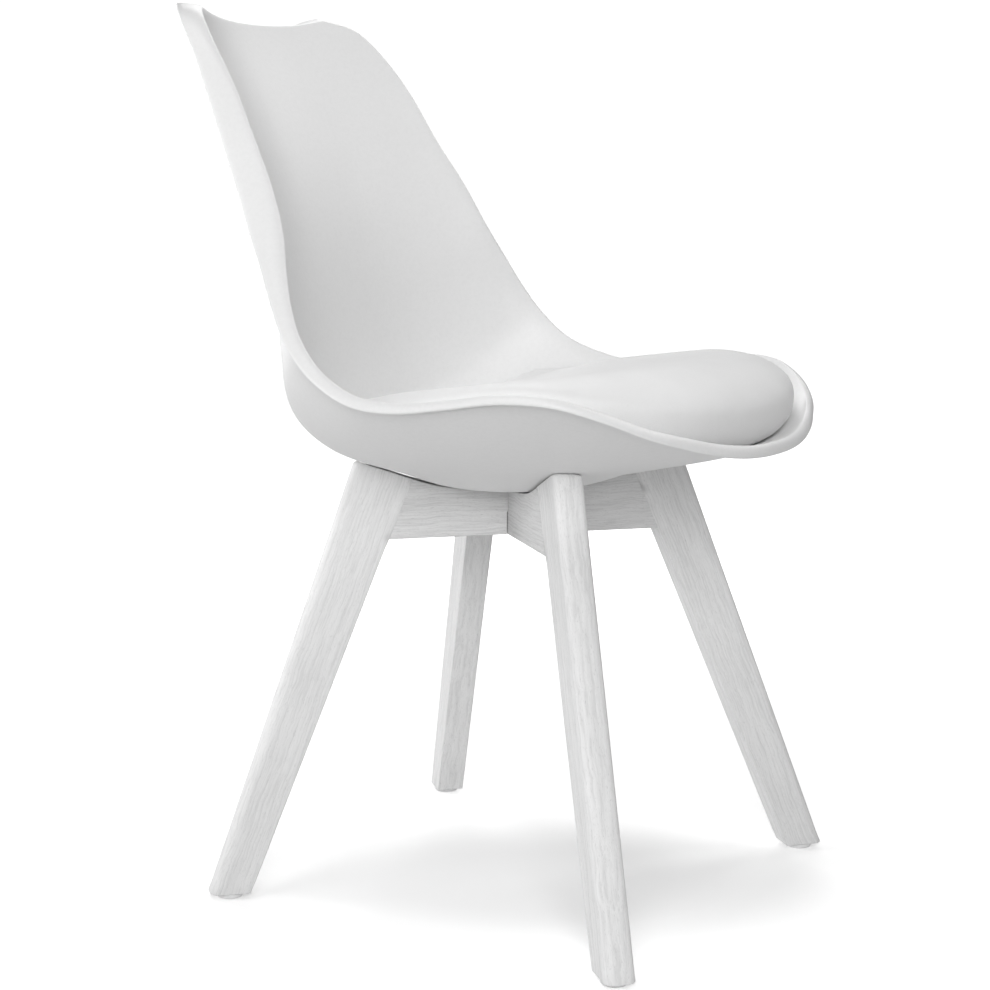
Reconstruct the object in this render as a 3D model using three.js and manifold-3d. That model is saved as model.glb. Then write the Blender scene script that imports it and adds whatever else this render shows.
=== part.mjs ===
// Dining chair: moulded bucket shell with a loose seat pad on a crossed-beam wooden base.
// Millimetres, +Z up. The sitter faces -Y and the sitter's right hand is on the -X side.
// Everything is modelled around the axis where the two beams cross, then moved along Y
// so that the whole chair is centred over the origin and its glides rest on z = 0.

import * as THREE from 'three';
import { mergeVertices } from 'three/addons/utils/BufferGeometryUtils.js';
import Module from 'manifold-3d';

const wasm = await Module();
wasm.setup();

// ---------------------------------------------------------------- driving sizes

// Gap left between pieces that touch in the real chair.
const GAP = 0.3;
// Distance from the crossing of the beams to the middle of the chair's depth.
const DEPTH_CENTRE_Y = 27.9;

// Shell: cross-sections from the front lip, along the seat and up the back.
// Each row: spine y, z | rim half width, y, z | curve power | lip out, lip return | turn y, z
// The spine is the centre line. The rim is where the inside surface meets the rolled lip.
// The lip runs "out" away from the rim, then "return" along the turn direction.
const STATIONS = [
  [-258.5, 440.5, 133, -238, 455.5, 2.2, 6.5, 9.5, 0, -1],
  [-243, 436, 176.5, -219, 467, 2.3, 8.5, 8, 0, -1],
  [-210, 427, 210.5, -194, 482, 2.4, 9, 6.5, 0, -1],
  [-160, 416, 235, -160, 494, 2.4, 8, 6, 0, -1],
  [-98, 403, 243, -114, 495, 2.4, 8, 6, 0, -1],
  [-32, 393, 245, -66, 488, 2.5, 8, 6, 0, -1],
  [34, 393, 245, -18, 483, 2.6, 8, 7, 0.1, -1],
  [92, 401, 243.5, 24, 487, 2.8, 9, 8, 0.4, -0.9],
  [140.5, 413, 231, 66.5, 504, 3.1, 9, 9, 0.75, -0.65],
  [173, 438, 221.5, 94, 529, 3.4, 10, 11, 0.95, -0.35],
  [186.5, 472, 211, 111.5, 556, 3.1, 10, 14, 1, -0.1],
  [195.5, 518, 197, 126.5, 588, 2.9, 11, 19, 1, 0],
  [204, 568, 180.5, 141.5, 623, 2.8, 13.5, 26, 1, 0],
  [218, 624, 170, 161.5, 665, 2.6, 12, 28.5, 1, 0],
  [240, 683, 159.5, 189, 711, 2.4, 10.5, 27, 1, 0],
  [266, 740, 152, 214, 755, 2.3, 11, 24, 1, 0],
  [289, 788, 144, 241, 792, 2.3, 11, 18, 1, 0],
  [299, 811, 129, 266, 820, 2.3, 8, 20, 1, 0.05],
  [303, 821, 102, 287, 830, 2.2, 5, 24, 1, 0],
];
const SHELL_THICKNESS = 4.5;
// Thicker boss under the middle of the seat, where the shell is bolted down.
const BOSS_EXTRA = 6;
const BOSS_FLAT_RADIUS = 70;
const BOSS_OUTER_RADIUS = 125;
// The top edge of the back rolls over less in its middle than at its two ears.
const TOP_EDGE_OUT = 2.5;
const TOP_EDGE_RETURN = 18;
const TOP_EDGE_DROOP = 0.35;
const SHELL_ROWS = 36;
const SHELL_COLUMNS = 20;
const LIP_ROWS = 3;

// Wooden base: four boards standing on the diagonals of two crossed beams.
const BOARD_THICKNESS = 28.4;
const BEAM_BOTTOM_Z = 337;
const BEAM_LAP_Z = 359;
const LAP_UPPER_CLEARANCE = 0.3;
const LAP_LOWER_CLEARANCE = 0.6;
const LEG_BOTTOM_Z = 5;
const LEG_TOP_Z = 416;
// Distances of a leg's edges from the crossing of the beams. The inner edge is given at the
// floor end and at the beam's underside, the outer edge at the floor end and at this height.
const OUTER_EDGE_TOP_Z = 400;
const FRONT_LEG = { footInner: 280, beamInner: 137, footOuter: 320, topOuter: 166.5 };
const REAR_LEG = { footInner: 263.5, beamInner: 129.5, footOuter: 301.5, topOuter: 162.5 };
// The rounded outer edge of a leg: how deep the rounding goes, and the power of its curve.
const LEG_NOSE_DEPTH = 12;
const LEG_NOSE_POWER = 2.4;
const LEG_INNER_BEVEL = 1.2;
const SADDLE_GAP = 0.7;
const SADDLE_BOSS_OUTER_RADIUS = 138;

// Hardware.
const BOLT_RADIUS_FROM_CENTRE = 60;
const BOLT_SHANK_R = 3;
const BOLT_TOP_Z = 391.4;
const BOLT_HEAD_R = 5;
const BOLT_HEAD_HEIGHT = 5;
const BOLT_SOCKET_R = 2.9;
const BOLT_SOCKET_DEPTH = 3;
const COUNTERBORE_R = 8.4;
const COUNTERBORE_DEPTH = 8;
const WASHER_R = 7.8;
const WASHER_THICKNESS = 1.5;
const INSERT_R = 4.5;
const INSERT_BOTTOM_Z = 386;
const INSERT_TOP_Z = 392.2;
const DOWEL_R = 4;
const DOWEL_LENGTH = 38;
const DOWEL_END_SPACE = 1;
const DOWEL_HEIGHTS = [351, 377];
const GLIDE_R = 12.2;
const GLIDE_HEIGHT = 4.7;
const GLIDE_EDGE = 1.6;
const FRONT_GLIDE_AT = 299.5;
const REAR_GLIDE_AT = 281.5;
const NAIL_R = 1.2;
const NAIL_HEAD_R = 3.2;
const NAIL_HEAD_Z = 1.4;
const NAIL_HEAD_HEIGHT = 1.2;
const NAIL_TOP_Z = 24;
const ROUND = 16;

// Seat pad and the thin curved board it is built on.
const BOARD_LIFT = 0.6;
const BOARD_PLY = 3.6;
const BOARD_FIRST_STATION = 1.6;
const BOARD_LAST_STATION = 7.6;
const BOARD_SIDE = 0.7;
const PAD_LIFT = 5.4;
const PAD_CENTRE_Y = -45;
const PAD_HALF_WIDTH = 234;
const PAD_FRONT = 206;
const PAD_REAR = 218;
const PAD_POWER = 2.5;
// Height of the top of the pad along the chair, as y, z pairs from front to rear.
const PAD_TOP = [[-265, 496], [-200, 503], [-140, 505], [-84, 501], [-17, 492], [61, 476], [166, 452]];
const PAD_EDGE_POWER = 10;
// Where the widest line of the pad lies between its bottom and its top.
const PAD_WAIST = 0.34;
const PAD_RINGS = 10;
const PAD_SPOKES = 48;
// The screws sit in pockets in the underside of the shell, covered by the beams.
const SCREW_RADIUS_FROM_CENTRE = 95;
const SCREW_POCKET_DEPTH = 4.4;
const SCREW_SHANK_R = 1.9;
const SCREW_HEAD_R = 4;
const SCREW_HEAD_HEIGHT = 2.4;
const SCREW_BITE = 3;

// ---------------------------------------------------------------- materials

function material(color, roughness, metalness) {
  return new THREE.MeshStandardMaterial({ color, roughness, metalness });
}

const whitePlastic = () => material(0xf1f1ef, 0.42, 0);
const whiteLeatherette = () => material(0xf0efed, 0.5, 0);
const washedBeech = () => material(0xe6e1da, 0.62, 0);
const palePly = () => material(0xcdb892, 0.7, 0);
const clearPad = () => material(0xeceeee, 0.35, 0);
const dowelWood = () => material(0xd9bd8e, 0.7, 0);
const zincSteel = () => material(0xb9bcc0, 0.32, 1);
const insertBrass = () => material(0xc7a24c, 0.35, 1);

// ---------------------------------------------------------------- solids

function toSolid(geometry) {
  const bare = geometry.clone();
  bare.deleteAttribute('normal');
  bare.deleteAttribute('uv');
  const merged = mergeVertices(bare, 1e-5);
  return new wasm.Manifold(new wasm.Mesh({
    numProp: 3,
    vertProperties: new Float32Array(merged.attributes.position.array),
    triVerts: new Uint32Array(merged.index.array),
  }));
}

function toGeometry(solid) {
  const mesh = solid.getMesh();
  const geometry = new THREE.BufferGeometry();
  geometry.setAttribute('position', new THREE.BufferAttribute(new Float32Array(mesh.vertProperties), 3));
  geometry.setIndex(new THREE.BufferAttribute(new Uint32Array(mesh.triVerts), 1));
  geometry.computeVertexNormals();
  return geometry;
}

function cut(base, tools) {
  return tools.reduce((solid, tool) => solid.subtract(toSolid(tool)), base);
}

// A closed surface from a list of corner points and a list of triangles or quads.
function geometryFrom(points, faces) {
  const index = [];
  for (const face of faces) {
    for (let i = 2; i < face.length; i += 1) {
      index.push(face[0], face[i - 1], face[i]);
    }
  }
  const geometry = new THREE.BufferGeometry();
  const flat = points.flatMap((p) => [p.x, p.y, p.z]);
  geometry.setAttribute('position', new THREE.Float32BufferAttribute(flat, 3));
  geometry.setIndex(index);
  geometry.computeVertexNormals();
  return geometry;
}

// Upright cylinder between two heights.
function post(radius, bottomZ, topZ, x, y) {
  const geometry = new THREE.CylinderGeometry(radius, radius, topZ - bottomZ, ROUND);
  geometry.rotateX(Math.PI / 2);
  geometry.translate(x, y, (topZ + bottomZ) / 2);
  return geometry;
}

// Turned solid about an upright axis, from a closed outline of radius, height pairs.
function turned(outline, x, y) {
  const points = outline.map(([r, z]) => new THREE.Vector2(r, z));
  const geometry = new THREE.LatheGeometry(points, ROUND);
  geometry.rotateX(Math.PI / 2);
  geometry.translate(x, y, 0);
  return geometry;
}

// ---------------------------------------------------------------- shell surface

// Smooth curve through a list of equally spaced rows of numbers.
function blendRows(rows, at) {
  const last = rows.length - 2;
  const i = Math.max(0, Math.min(Math.floor(at), last));
  const f = at - i;
  return rows[i].map((p1, k) => {
    const p2 = rows[i + 1][k];
    const p0 = i > 0 ? rows[i - 1][k] : 2 * p1 - p2;
    const p3 = i < last ? rows[i + 2][k] : 2 * p2 - p1;
    const linear = p2 - p0;
    const square = 2 * p0 - 5 * p1 + 4 * p2 - p3;
    const cube = -p0 + 3 * p1 - 3 * p2 + p3;
    return 0.5 * (2 * p1 + linear * f + square * f * f + cube * f * f * f);
  });
}

// Inside surface: "at" counts stations from the front, "side" runs -1 to 1 across.
function insidePoint(at, side) {
  const [spineY, spineZ, halfWidth, rimY, rimZ, power] = blendRows(STATIONS, at);
  const rise = Math.abs(side) ** power;
  return new THREE.Vector3(
    halfWidth * side,
    spineY + (rimY - spineY) * rise,
    spineZ + (rimZ - spineZ) * rise,
  );
}

function insideNormal(at, side) {
  const step = 0.01;
  const across = insidePoint(at, side + step).sub(insidePoint(at, side - step));
  const along = insidePoint(at + step, side).sub(insidePoint(at - step, side));
  return across.cross(along).normalize();
}

function bossExtra(point, outerRadius) {
  const radius = Math.hypot(point.x, point.y);
  const t = THREE.MathUtils.smoothstep(radius, BOSS_FLAT_RADIUS, outerRadius);
  return point.z < STATIONS[0][1] ? BOSS_EXTRA * (1 - t) : 0;
}

// Height of the inside of the seat above a point in plan.
function seatHeight(x, y) {
  let low = 0;
  let high = 12;
  for (let i = 0; i < 24; i += 1) {
    const middle = (low + high) / 2;
    const halfWidth = blendRows(STATIONS, middle)[2];
    if (insidePoint(middle, x / halfWidth).y < y) {
      low = middle;
    } else {
      high = middle;
    }
  }
  const halfWidth = blendRows(STATIONS, low)[2];
  return insidePoint(low, x / halfWidth).z;
}

// ---------------------------------------------------------------- shell

function smoothLoop(vectors, times) {
  let now = vectors;
  for (let pass = 0; pass < times; pass += 1) {
    now = now.map((v, i) => {
      const before = now[(i + now.length - 1) % now.length];
      const after = now[(i + 1) % now.length];
      return before.clone().add(after).addScaledVector(v, 2).normalize();
    });
  }
  return now;
}

// Grid positions of the rim, once round: front, left side, top, right side.
function rimLoop() {
  const loop = [];
  for (let j = 0; j < SHELL_COLUMNS; j += 1) loop.push([0, j]);
  for (let i = 0; i < SHELL_ROWS; i += 1) loop.push([i, SHELL_COLUMNS]);
  for (let j = SHELL_COLUMNS; j > 0; j -= 1) loop.push([SHELL_ROWS, j]);
  for (let i = SHELL_ROWS; i > 0; i -= 1) loop.push([i, 0]);
  return loop;
}

// Direction in which the inside surface leaves the grid at each rim position.
function rimDirections(grid, loop) {
  const directions = loop.map(([i, j]) => {
    const sum = new THREE.Vector3();
    const here = grid[i][j];
    if (i === 0) sum.add(here.clone().sub(grid[1][j]).normalize());
    if (i === SHELL_ROWS) sum.add(here.clone().sub(grid[i - 1][j]).normalize());
    if (j === 0) sum.add(here.clone().sub(grid[i][1]).normalize());
    if (j === SHELL_COLUMNS) sum.add(here.clone().sub(grid[i][j - 1]).normalize());
    return sum.normalize();
  });
  return smoothLoop(directions, 4);
}

// Size and turn direction of the rolled lip at a rim position.
function lipShape(i, j) {
  const row = blendRows(STATIONS, (i / SHELL_ROWS) * (STATIONS.length - 1));
  let [out, back, turnY, turnZ] = row.slice(6);
  if (i === SHELL_ROWS) {
    const ear = Math.abs((2 * j) / SHELL_COLUMNS - 1) ** 3;
    out = TOP_EDGE_OUT + (out - TOP_EDGE_OUT) * ear;
    back = TOP_EDGE_RETURN + (back - TOP_EDGE_RETURN) * ear;
    turnY = 1;
    turnZ = -TOP_EDGE_DROOP * (1 - ear);
  }
  return { out, back, turn: new THREE.Vector3(0, turnY, turnZ).normalize() };
}

// Rows of points that carry the inside surface round the rolled lip.
function lipRows(grid, loop) {
  const rim = loop.map(([i, j]) => grid[i][j]);
  const leave = rimDirections(grid, loop);
  const count = rim.length;
  const along = smoothLoop(
    rim.map((_, k) => rim[(k + 1) % count].clone().sub(rim[(k + count - 1) % count]).normalize()),
    2,
  );
  const curves = rim.map((start, k) => {
    const { out, back, turn } = lipShape(...loop[k]);
    turn.addScaledVector(along[k], -turn.dot(along[k])).normalize();
    const outward = turn.clone().cross(along[k]).normalize();
    const end = start.clone().addScaledVector(outward, out).addScaledVector(turn, back);
    const first = start.clone().addScaledVector(leave[k], 0.45 * out);
    const second = end.clone().addScaledVector(turn, -0.6 * back);
    return new THREE.CubicBezierCurve3(start, first, second, end);
  });
  const rows = [];
  for (let q = 1; q <= LIP_ROWS; q += 1) {
    rows.push(curves.map((curve) => curve.getPoint(q / LIP_ROWS)));
  }
  return rows;
}

// The inside surface with its lip: points, quads and the outermost ring.
function shellSheet() {
  const grid = [];
  for (let i = 0; i <= SHELL_ROWS; i += 1) {
    const row = [];
    for (let j = 0; j <= SHELL_COLUMNS; j += 1) {
      const at = (i / SHELL_ROWS) * (STATIONS.length - 1);
      row.push(insidePoint(at, (2 * j) / SHELL_COLUMNS - 1));
    }
    grid.push(row);
  }
  const points = grid.flat();
  const place = (i, j) => i * (SHELL_COLUMNS + 1) + j;
  const quads = [];
  for (let i = 0; i < SHELL_ROWS; i += 1) {
    for (let j = 0; j < SHELL_COLUMNS; j += 1) {
      quads.push([place(i, j), place(i, j + 1), place(i + 1, j + 1), place(i + 1, j)]);
    }
  }
  const loop = rimLoop();
  let ring = loop.map(([i, j]) => place(i, j));
  for (const row of lipRows(grid, loop)) {
    const next = row.map((point) => points.push(point) - 1);
    ring.forEach((p, k) => {
      const k2 = (k + 1) % ring.length;
      quads.push([p, next[k], next[k2], ring[k2]]);
    });
    ring = next;
  }
  return { points, quads, ring };
}

function sheetNormals(points, quads) {
  const normals = points.map(() => new THREE.Vector3());
  for (const [a, b, c, d] of quads) {
    const first = points[c].clone().sub(points[a]);
    const normal = first.cross(points[d].clone().sub(points[b]));
    for (const corner of [a, b, c, d]) normals[corner].add(normal);
  }
  return normals.map((n) => n.normalize());
}

function shellSolid() {
  const { points, quads, ring } = shellSheet();
  const normals = sheetNormals(points, quads);
  const count = points.length;
  const outer = points.map((p, i) => {
    const depth = SHELL_THICKNESS + bossExtra(p, BOSS_OUTER_RADIUS);
    return p.clone().addScaledVector(normals[i], -depth);
  });
  const faces = quads.map((quad) => [...quad]);
  for (const quad of quads) {
    faces.push(quad.map((corner) => corner + count).reverse());
  }
  ring.forEach((p, k) => {
    const next = ring[(k + 1) % ring.length];
    faces.push([p, p + count, next + count, next]);
  });
  return toSolid(geometryFrom([...points, ...outer], faces));
}

function seatShell() {
  const tools = [];
  for (const [x, y] of boltPlaces()) {
    tools.push(post(INSERT_R + GAP, BEAM_BOTTOM_Z, INSERT_TOP_Z + GAP, x, y));
  }
  for (const [x, y] of screwPlaces()) {
    const top = seatHeight(x, y) + PAD_LIFT;
    tools.push(post(SCREW_SHANK_R + GAP, BEAM_BOTTOM_Z, top, x, y));
    tools.push(post(SCREW_HEAD_R + GAP, BEAM_BOTTOM_Z, screwSeat(x, y), x, y));
  }
  return toGeometry(cut(shellSolid(), tools));
}

// ---------------------------------------------------------------- slabs on the seat

// Curved slab that follows the inside surface between two offsets from it.
function followingSlab(range, side, lowOffset, highOffset, steps) {
  const [first, last] = range;
  const points = [];
  for (const offset of [lowOffset, highOffset]) {
    for (let i = 0; i <= steps; i += 1) {
      for (let j = 0; j <= steps; j += 1) {
        const at = first + ((last - first) * i) / steps;
        const across = side * ((2 * j) / steps - 1);
        points.push(offset(at, across));
      }
    }
  }
  return slabGeometry(points, steps);
}

// Two square grids of points, low then high, joined round their border.
function slabGeometry(points, steps) {
  const layer = (steps + 1) ** 2;
  const place = (i, j, high) => i * (steps + 1) + j + (high ? layer : 0);
  const faces = [];
  for (let i = 0; i < steps; i += 1) {
    for (let j = 0; j < steps; j += 1) {
      const square = [[i, j], [i, j + 1], [i + 1, j + 1], [i + 1, j]];
      faces.push(square.map(([a, b]) => place(a, b, true)));
      faces.push(square.map(([a, b]) => place(a, b, false)).reverse());
    }
  }
  const border = [];
  for (let j = 0; j < steps; j += 1) border.push([0, j]);
  for (let i = 0; i < steps; i += 1) border.push([i, steps]);
  for (let j = steps; j > 0; j -= 1) border.push([steps, j]);
  for (let i = steps; i > 0; i -= 1) border.push([i, 0]);
  border.forEach(([a, b], k) => {
    const [c, d] = border[(k + 1) % border.length];
    faces.push([place(a, b, false), place(c, d, false), place(c, d, true), place(a, b, true)]);
  });
  return geometryFrom(points, faces);
}

function cushionBoard() {
  const lifted = (lift) => (at, side) => (
    insidePoint(at, side).addScaledVector(insideNormal(at, side), lift)
  );
  const slab = followingSlab(
    [BOARD_FIRST_STATION, BOARD_LAST_STATION],
    BOARD_SIDE,
    lifted(BOARD_LIFT),
    lifted(BOARD_LIFT + BOARD_PLY),
    14,
  );
  const tools = screwPlaces().map(([x, y]) => {
    const seat = seatHeight(x, y);
    return post(SCREW_SHANK_R + GAP, seat - 6, seat + SCREW_BITE + GAP, x, y);
  });
  return toGeometry(cut(toSolid(slab), tools));
}

// Everything above the underside of the shell: used to shape the tops of the base.
function saddleTool() {
  const under = (lift) => (at, side) => {
    const point = insidePoint(at, side);
    const depth = SHELL_THICKNESS + bossExtra(point, SADDLE_BOSS_OUTER_RADIUS) + SADDLE_GAP;
    point.addScaledVector(insideNormal(at, side), -depth);
    point.z += lift;
    return point;
  };
  return followingSlab([1, 10], 0.92, under(0), under(150), 30);
}

// ---------------------------------------------------------------- seat pad

function padTop(y) {
  let k = 0;
  while (k < PAD_TOP.length - 2 && y > PAD_TOP[k + 1][0]) k += 1;
  const t = (y - PAD_TOP[k][0]) / (PAD_TOP[k + 1][0] - PAD_TOP[k][0]);
  return blendRows(PAD_TOP, k + Math.max(0, Math.min(t, 1)))[1];
}

function padPlan(angle, reach) {
  const c = Math.cos(angle);
  const s = Math.sin(angle);
  const depth = s < 0 ? PAD_FRONT : PAD_REAR;
  const x = Math.sign(c) * Math.abs(c) ** (2 / PAD_POWER) * PAD_HALF_WIDTH * reach;
  const y = Math.sign(s) * Math.abs(s) ** (2 / PAD_POWER) * depth * reach;
  return [x, PAD_CENTRE_Y + y];
}

function seatCushion() {
  const points = [];
  const ringStart = (ring, high) => 2 + (high ? PAD_RINGS * PAD_SPOKES : 0) + ring * PAD_SPOKES;
  const levels = (x, y, reach) => {
    const low = seatHeight(x, y) + PAD_LIFT;
    const high = Math.max(padTop(y), low + 3);
    const fullness = Math.sqrt(1 - Math.min(reach ** PAD_EDGE_POWER, 0.98));
    const middle = low + (high - low) * PAD_WAIST;
    return [middle - (middle - low) * fullness, middle + (high - middle) * fullness];
  };
  const centre = levels(0, PAD_CENTRE_Y, 0);
  centre.forEach((z) => points.push(new THREE.Vector3(0, PAD_CENTRE_Y, z)));
  for (const high of [0, 1]) {
    for (let ring = 1; ring <= PAD_RINGS; ring += 1) {
      const reach = Math.sin((ring / PAD_RINGS) * (Math.PI / 2));
      for (let k = 0; k < PAD_SPOKES; k += 1) {
        const [x, y] = padPlan((k / PAD_SPOKES) * Math.PI * 2, reach);
        points.push(new THREE.Vector3(x, y, levels(x, y, reach)[high]));
      }
    }
  }
  const faces = [];
  for (let k = 0; k < PAD_SPOKES; k += 1) {
    const next = (k + 1) % PAD_SPOKES;
    faces.push([0, ringStart(0, false) + next, ringStart(0, false) + k]);
    faces.push([1, ringStart(0, true) + k, ringStart(0, true) + next]);
    for (let ring = 0; ring < PAD_RINGS - 1; ring += 1) {
      const low = ringStart(ring, false);
      const high = ringStart(ring, true);
      faces.push([low + k, low + next, low + PAD_SPOKES + next, low + PAD_SPOKES + k]);
      faces.push([high + k, high + PAD_SPOKES + k, high + PAD_SPOKES + next, high + next]);
    }
    const low = ringStart(PAD_RINGS - 1, false);
    const high = ringStart(PAD_RINGS - 1, true);
    faces.push([low + k, low + next, high + next, high + k]);
  }
  return geometryFrom(points, faces);
}

// ---------------------------------------------------------------- wooden base

// The four diagonals. Angle is measured from +X, counter-clockwise seen from above.
const CORNERS = [
  { name: 'front_right', angle: (-3 * Math.PI) / 4, leg: FRONT_LEG, glideAt: FRONT_GLIDE_AT },
  { name: 'front_left', angle: -Math.PI / 4, leg: FRONT_LEG, glideAt: FRONT_GLIDE_AT },
  { name: 'rear_left', angle: Math.PI / 4, leg: REAR_LEG, glideAt: REAR_GLIDE_AT },
  { name: 'rear_right', angle: (3 * Math.PI) / 4, leg: REAR_LEG, glideAt: REAR_GLIDE_AT },
];

// One place on each diagonal at a distance from the centre.
function diagonalPlaces(radius) {
  return CORNERS.map(({ angle }) => [radius * Math.cos(angle), radius * Math.sin(angle)]);
}

const boltPlaces = () => diagonalPlaces(BOLT_RADIUS_FROM_CENTRE);
const screwPlaces = () => diagonalPlaces(SCREW_RADIUS_FROM_CENTRE);

// Distance from the centre of a leg's inner or outer edge at a height.
function innerEdge(leg, z) {
  const t = (z - LEG_BOTTOM_Z) / (BEAM_BOTTOM_Z - LEG_BOTTOM_Z);
  return leg.footInner + (leg.beamInner - leg.footInner) * t;
}

function outerEdge(leg, z) {
  const t = (z - LEG_BOTTOM_Z) / (OUTER_EDGE_TOP_Z - LEG_BOTTOM_Z);
  return leg.footOuter + (leg.topOuter - leg.footOuter) * t;
}

// Level section of a leg: square inner edge with a fine bevel, fully rounded outer edge.
function legSection(leg, z) {
  const inner = innerEdge(leg, z);
  const outer = outerEdge(leg, z);
  const half = BOARD_THICKNESS / 2;
  const bevel = LEG_INNER_BEVEL;
  const points = [[inner, -half + bevel], [inner + bevel, -half]];
  const noseSteps = 10;
  const ease = 2 / LEG_NOSE_POWER;
  for (let i = 0; i <= noseSteps; i += 1) {
    const a = (Math.PI * i) / noseSteps;
    const reach = Math.sin(a) ** ease;
    const side = -Math.sign(Math.cos(a)) * Math.abs(Math.cos(a)) ** ease;
    points.push([outer - LEG_NOSE_DEPTH * (1 - reach), half * side]);
  }
  points.push([inner + bevel, half], [inner, half - bevel]);
  return points.map(([r, side]) => new THREE.Vector3(r, side, z));
}

function legBlank(leg) {
  const low = legSection(leg, LEG_BOTTOM_Z);
  const high = legSection(leg, LEG_TOP_Z);
  const count = low.length;
  const faces = [];
  for (let i = 0; i < count; i += 1) {
    const next = (i + 1) % count;
    faces.push([i, next, next + count, i + count]);
  }
  faces.push(low.map((_, i) => count - 1 - i));
  faces.push(high.map((_, i) => count + i));
  return geometryFrom([...low, ...high], faces);
}

// A straight peg square to the leg's inner edge, centred on the glue line.
function dowelPeg(leg, z, radius, length) {
  const slope = (leg.footInner - leg.beamInner) / (BEAM_BOTTOM_Z - LEG_BOTTOM_Z);
  const geometry = new THREE.CylinderGeometry(radius, radius, length, ROUND);
  geometry.rotateZ(-Math.PI / 2 + Math.atan(slope));
  geometry.rotateX(Math.PI / 2);
  geometry.translate(innerEdge(leg, z), 0, z);
  return geometry;
}

function dowelHoles(leg) {
  return DOWEL_HEIGHTS.map((z) => (
    dowelPeg(leg, z, DOWEL_R + GAP, DOWEL_LENGTH + 2 * DOWEL_END_SPACE)
  ));
}

function legBoard({ leg, angle, glideAt }) {
  const nailHole = post(NAIL_R + GAP, 0, NAIL_TOP_Z + GAP, glideAt, 0);
  const board = cut(toSolid(legBlank(leg)), [...dowelHoles(leg), nailHole]);
  const turnedBoard = toGeometry(board).rotateZ(angle);
  return toGeometry(cut(toSolid(turnedBoard), [saddleTool()]));
}

// One beam lies on the diagonal from a rear leg to the opposite front leg.
function beamBlank(front, rear) {
  const half = BOARD_THICKNESS / 2;
  const frontLow = innerEdge(front, BEAM_BOTTOM_Z) - GAP;
  const frontHigh = innerEdge(front, LEG_TOP_Z) - GAP;
  const rearLow = innerEdge(rear, BEAM_BOTTOM_Z) - GAP;
  const rearHigh = innerEdge(rear, LEG_TOP_Z) - GAP;
  const outline = new THREE.Shape([
    new THREE.Vector2(-rearLow, BEAM_BOTTOM_Z),
    new THREE.Vector2(frontLow, BEAM_BOTTOM_Z),
    new THREE.Vector2(frontHigh, LEG_TOP_Z),
    new THREE.Vector2(-rearHigh, LEG_TOP_Z),
  ]);
  const bevel = 0.8;
  const geometry = new THREE.ExtrudeGeometry(outline, {
    depth: BOARD_THICKNESS - 2 * bevel,
    bevelEnabled: true,
    bevelSize: bevel,
    bevelOffset: -bevel,
    bevelThickness: bevel,
    bevelSegments: 1,
  });
  geometry.rotateX(Math.PI / 2);
  geometry.translate(0, half - bevel, 0);
  return geometry;
}

// Notch for the other beam: the upper half of one beam, the lower half of the other.
function lapNotch(upper) {
  const clearance = upper ? LAP_UPPER_CLEARANCE : LAP_LOWER_CLEARANCE;
  const width = BOARD_THICKNESS + 2 * clearance;
  const low = upper ? BEAM_LAP_Z - GAP / 2 : BEAM_BOTTOM_Z - 10;
  const high = upper ? LEG_TOP_Z + 10 : BEAM_LAP_Z + GAP / 2;
  const geometry = new THREE.BoxGeometry(width, BOARD_THICKNESS * 2, high - low);
  geometry.translate(0, 0, (low + high) / 2);
  return geometry;
}

function crossBeam(angle, notchUpper) {
  const tools = [lapNotch(notchUpper)];
  dowelHoles(FRONT_LEG).forEach((hole) => tools.push(hole));
  dowelHoles(REAR_LEG).forEach((hole) => tools.push(hole.rotateZ(Math.PI)));
  for (const side of [-1, 1]) {
    const x = side * BOLT_RADIUS_FROM_CENTRE;
    tools.push(post(BOLT_SHANK_R + GAP, BEAM_BOTTOM_Z - 10, LEG_TOP_Z + 10, x, 0));
    tools.push(post(COUNTERBORE_R, BEAM_BOTTOM_Z - 10, BEAM_BOTTOM_Z + COUNTERBORE_DEPTH, x, 0));
  }
  const beam = toGeometry(cut(toSolid(beamBlank(FRONT_LEG, REAR_LEG)), tools)).rotateZ(angle);
  return toGeometry(cut(toSolid(beam), [saddleTool()]));
}

// ---------------------------------------------------------------- hardware

function seatBolt(x, y) {
  const seat = BEAM_BOTTOM_Z + COUNTERBORE_DEPTH - WASHER_THICKNESS - 2 * GAP;
  const bottom = seat - BOLT_HEAD_HEIGHT;
  const body = turned([
    [0, bottom], [BOLT_HEAD_R - 0.5, bottom], [BOLT_HEAD_R, bottom + 0.5], [BOLT_HEAD_R, seat],
    [BOLT_SHANK_R, seat], [BOLT_SHANK_R, BOLT_TOP_Z - 1], [BOLT_SHANK_R - 1, BOLT_TOP_Z],
    [0, BOLT_TOP_Z],
  ], x, y);
  const socket = new THREE.CylinderGeometry(BOLT_SOCKET_R, BOLT_SOCKET_R, BOLT_SOCKET_DEPTH * 2, 6);
  socket.rotateX(Math.PI / 2);
  socket.translate(x, y, bottom);
  return toGeometry(cut(toSolid(body), [socket]));
}

function ringOutline(inner, outer, low, high) {
  return [[inner, low], [outer, low], [outer, high], [inner, high], [inner, low]];
}

function boltWasher(x, y) {
  const top = BEAM_BOTTOM_Z + COUNTERBORE_DEPTH - GAP;
  const outline = ringOutline(BOLT_SHANK_R + GAP, WASHER_R, top - WASHER_THICKNESS, top);
  return turned(outline, x, y);
}

function threadedInsert(x, y) {
  return turned(ringOutline(BOLT_SHANK_R + GAP, INSERT_R, INSERT_BOTTOM_Z, INSERT_TOP_Z), x, y);
}

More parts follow.
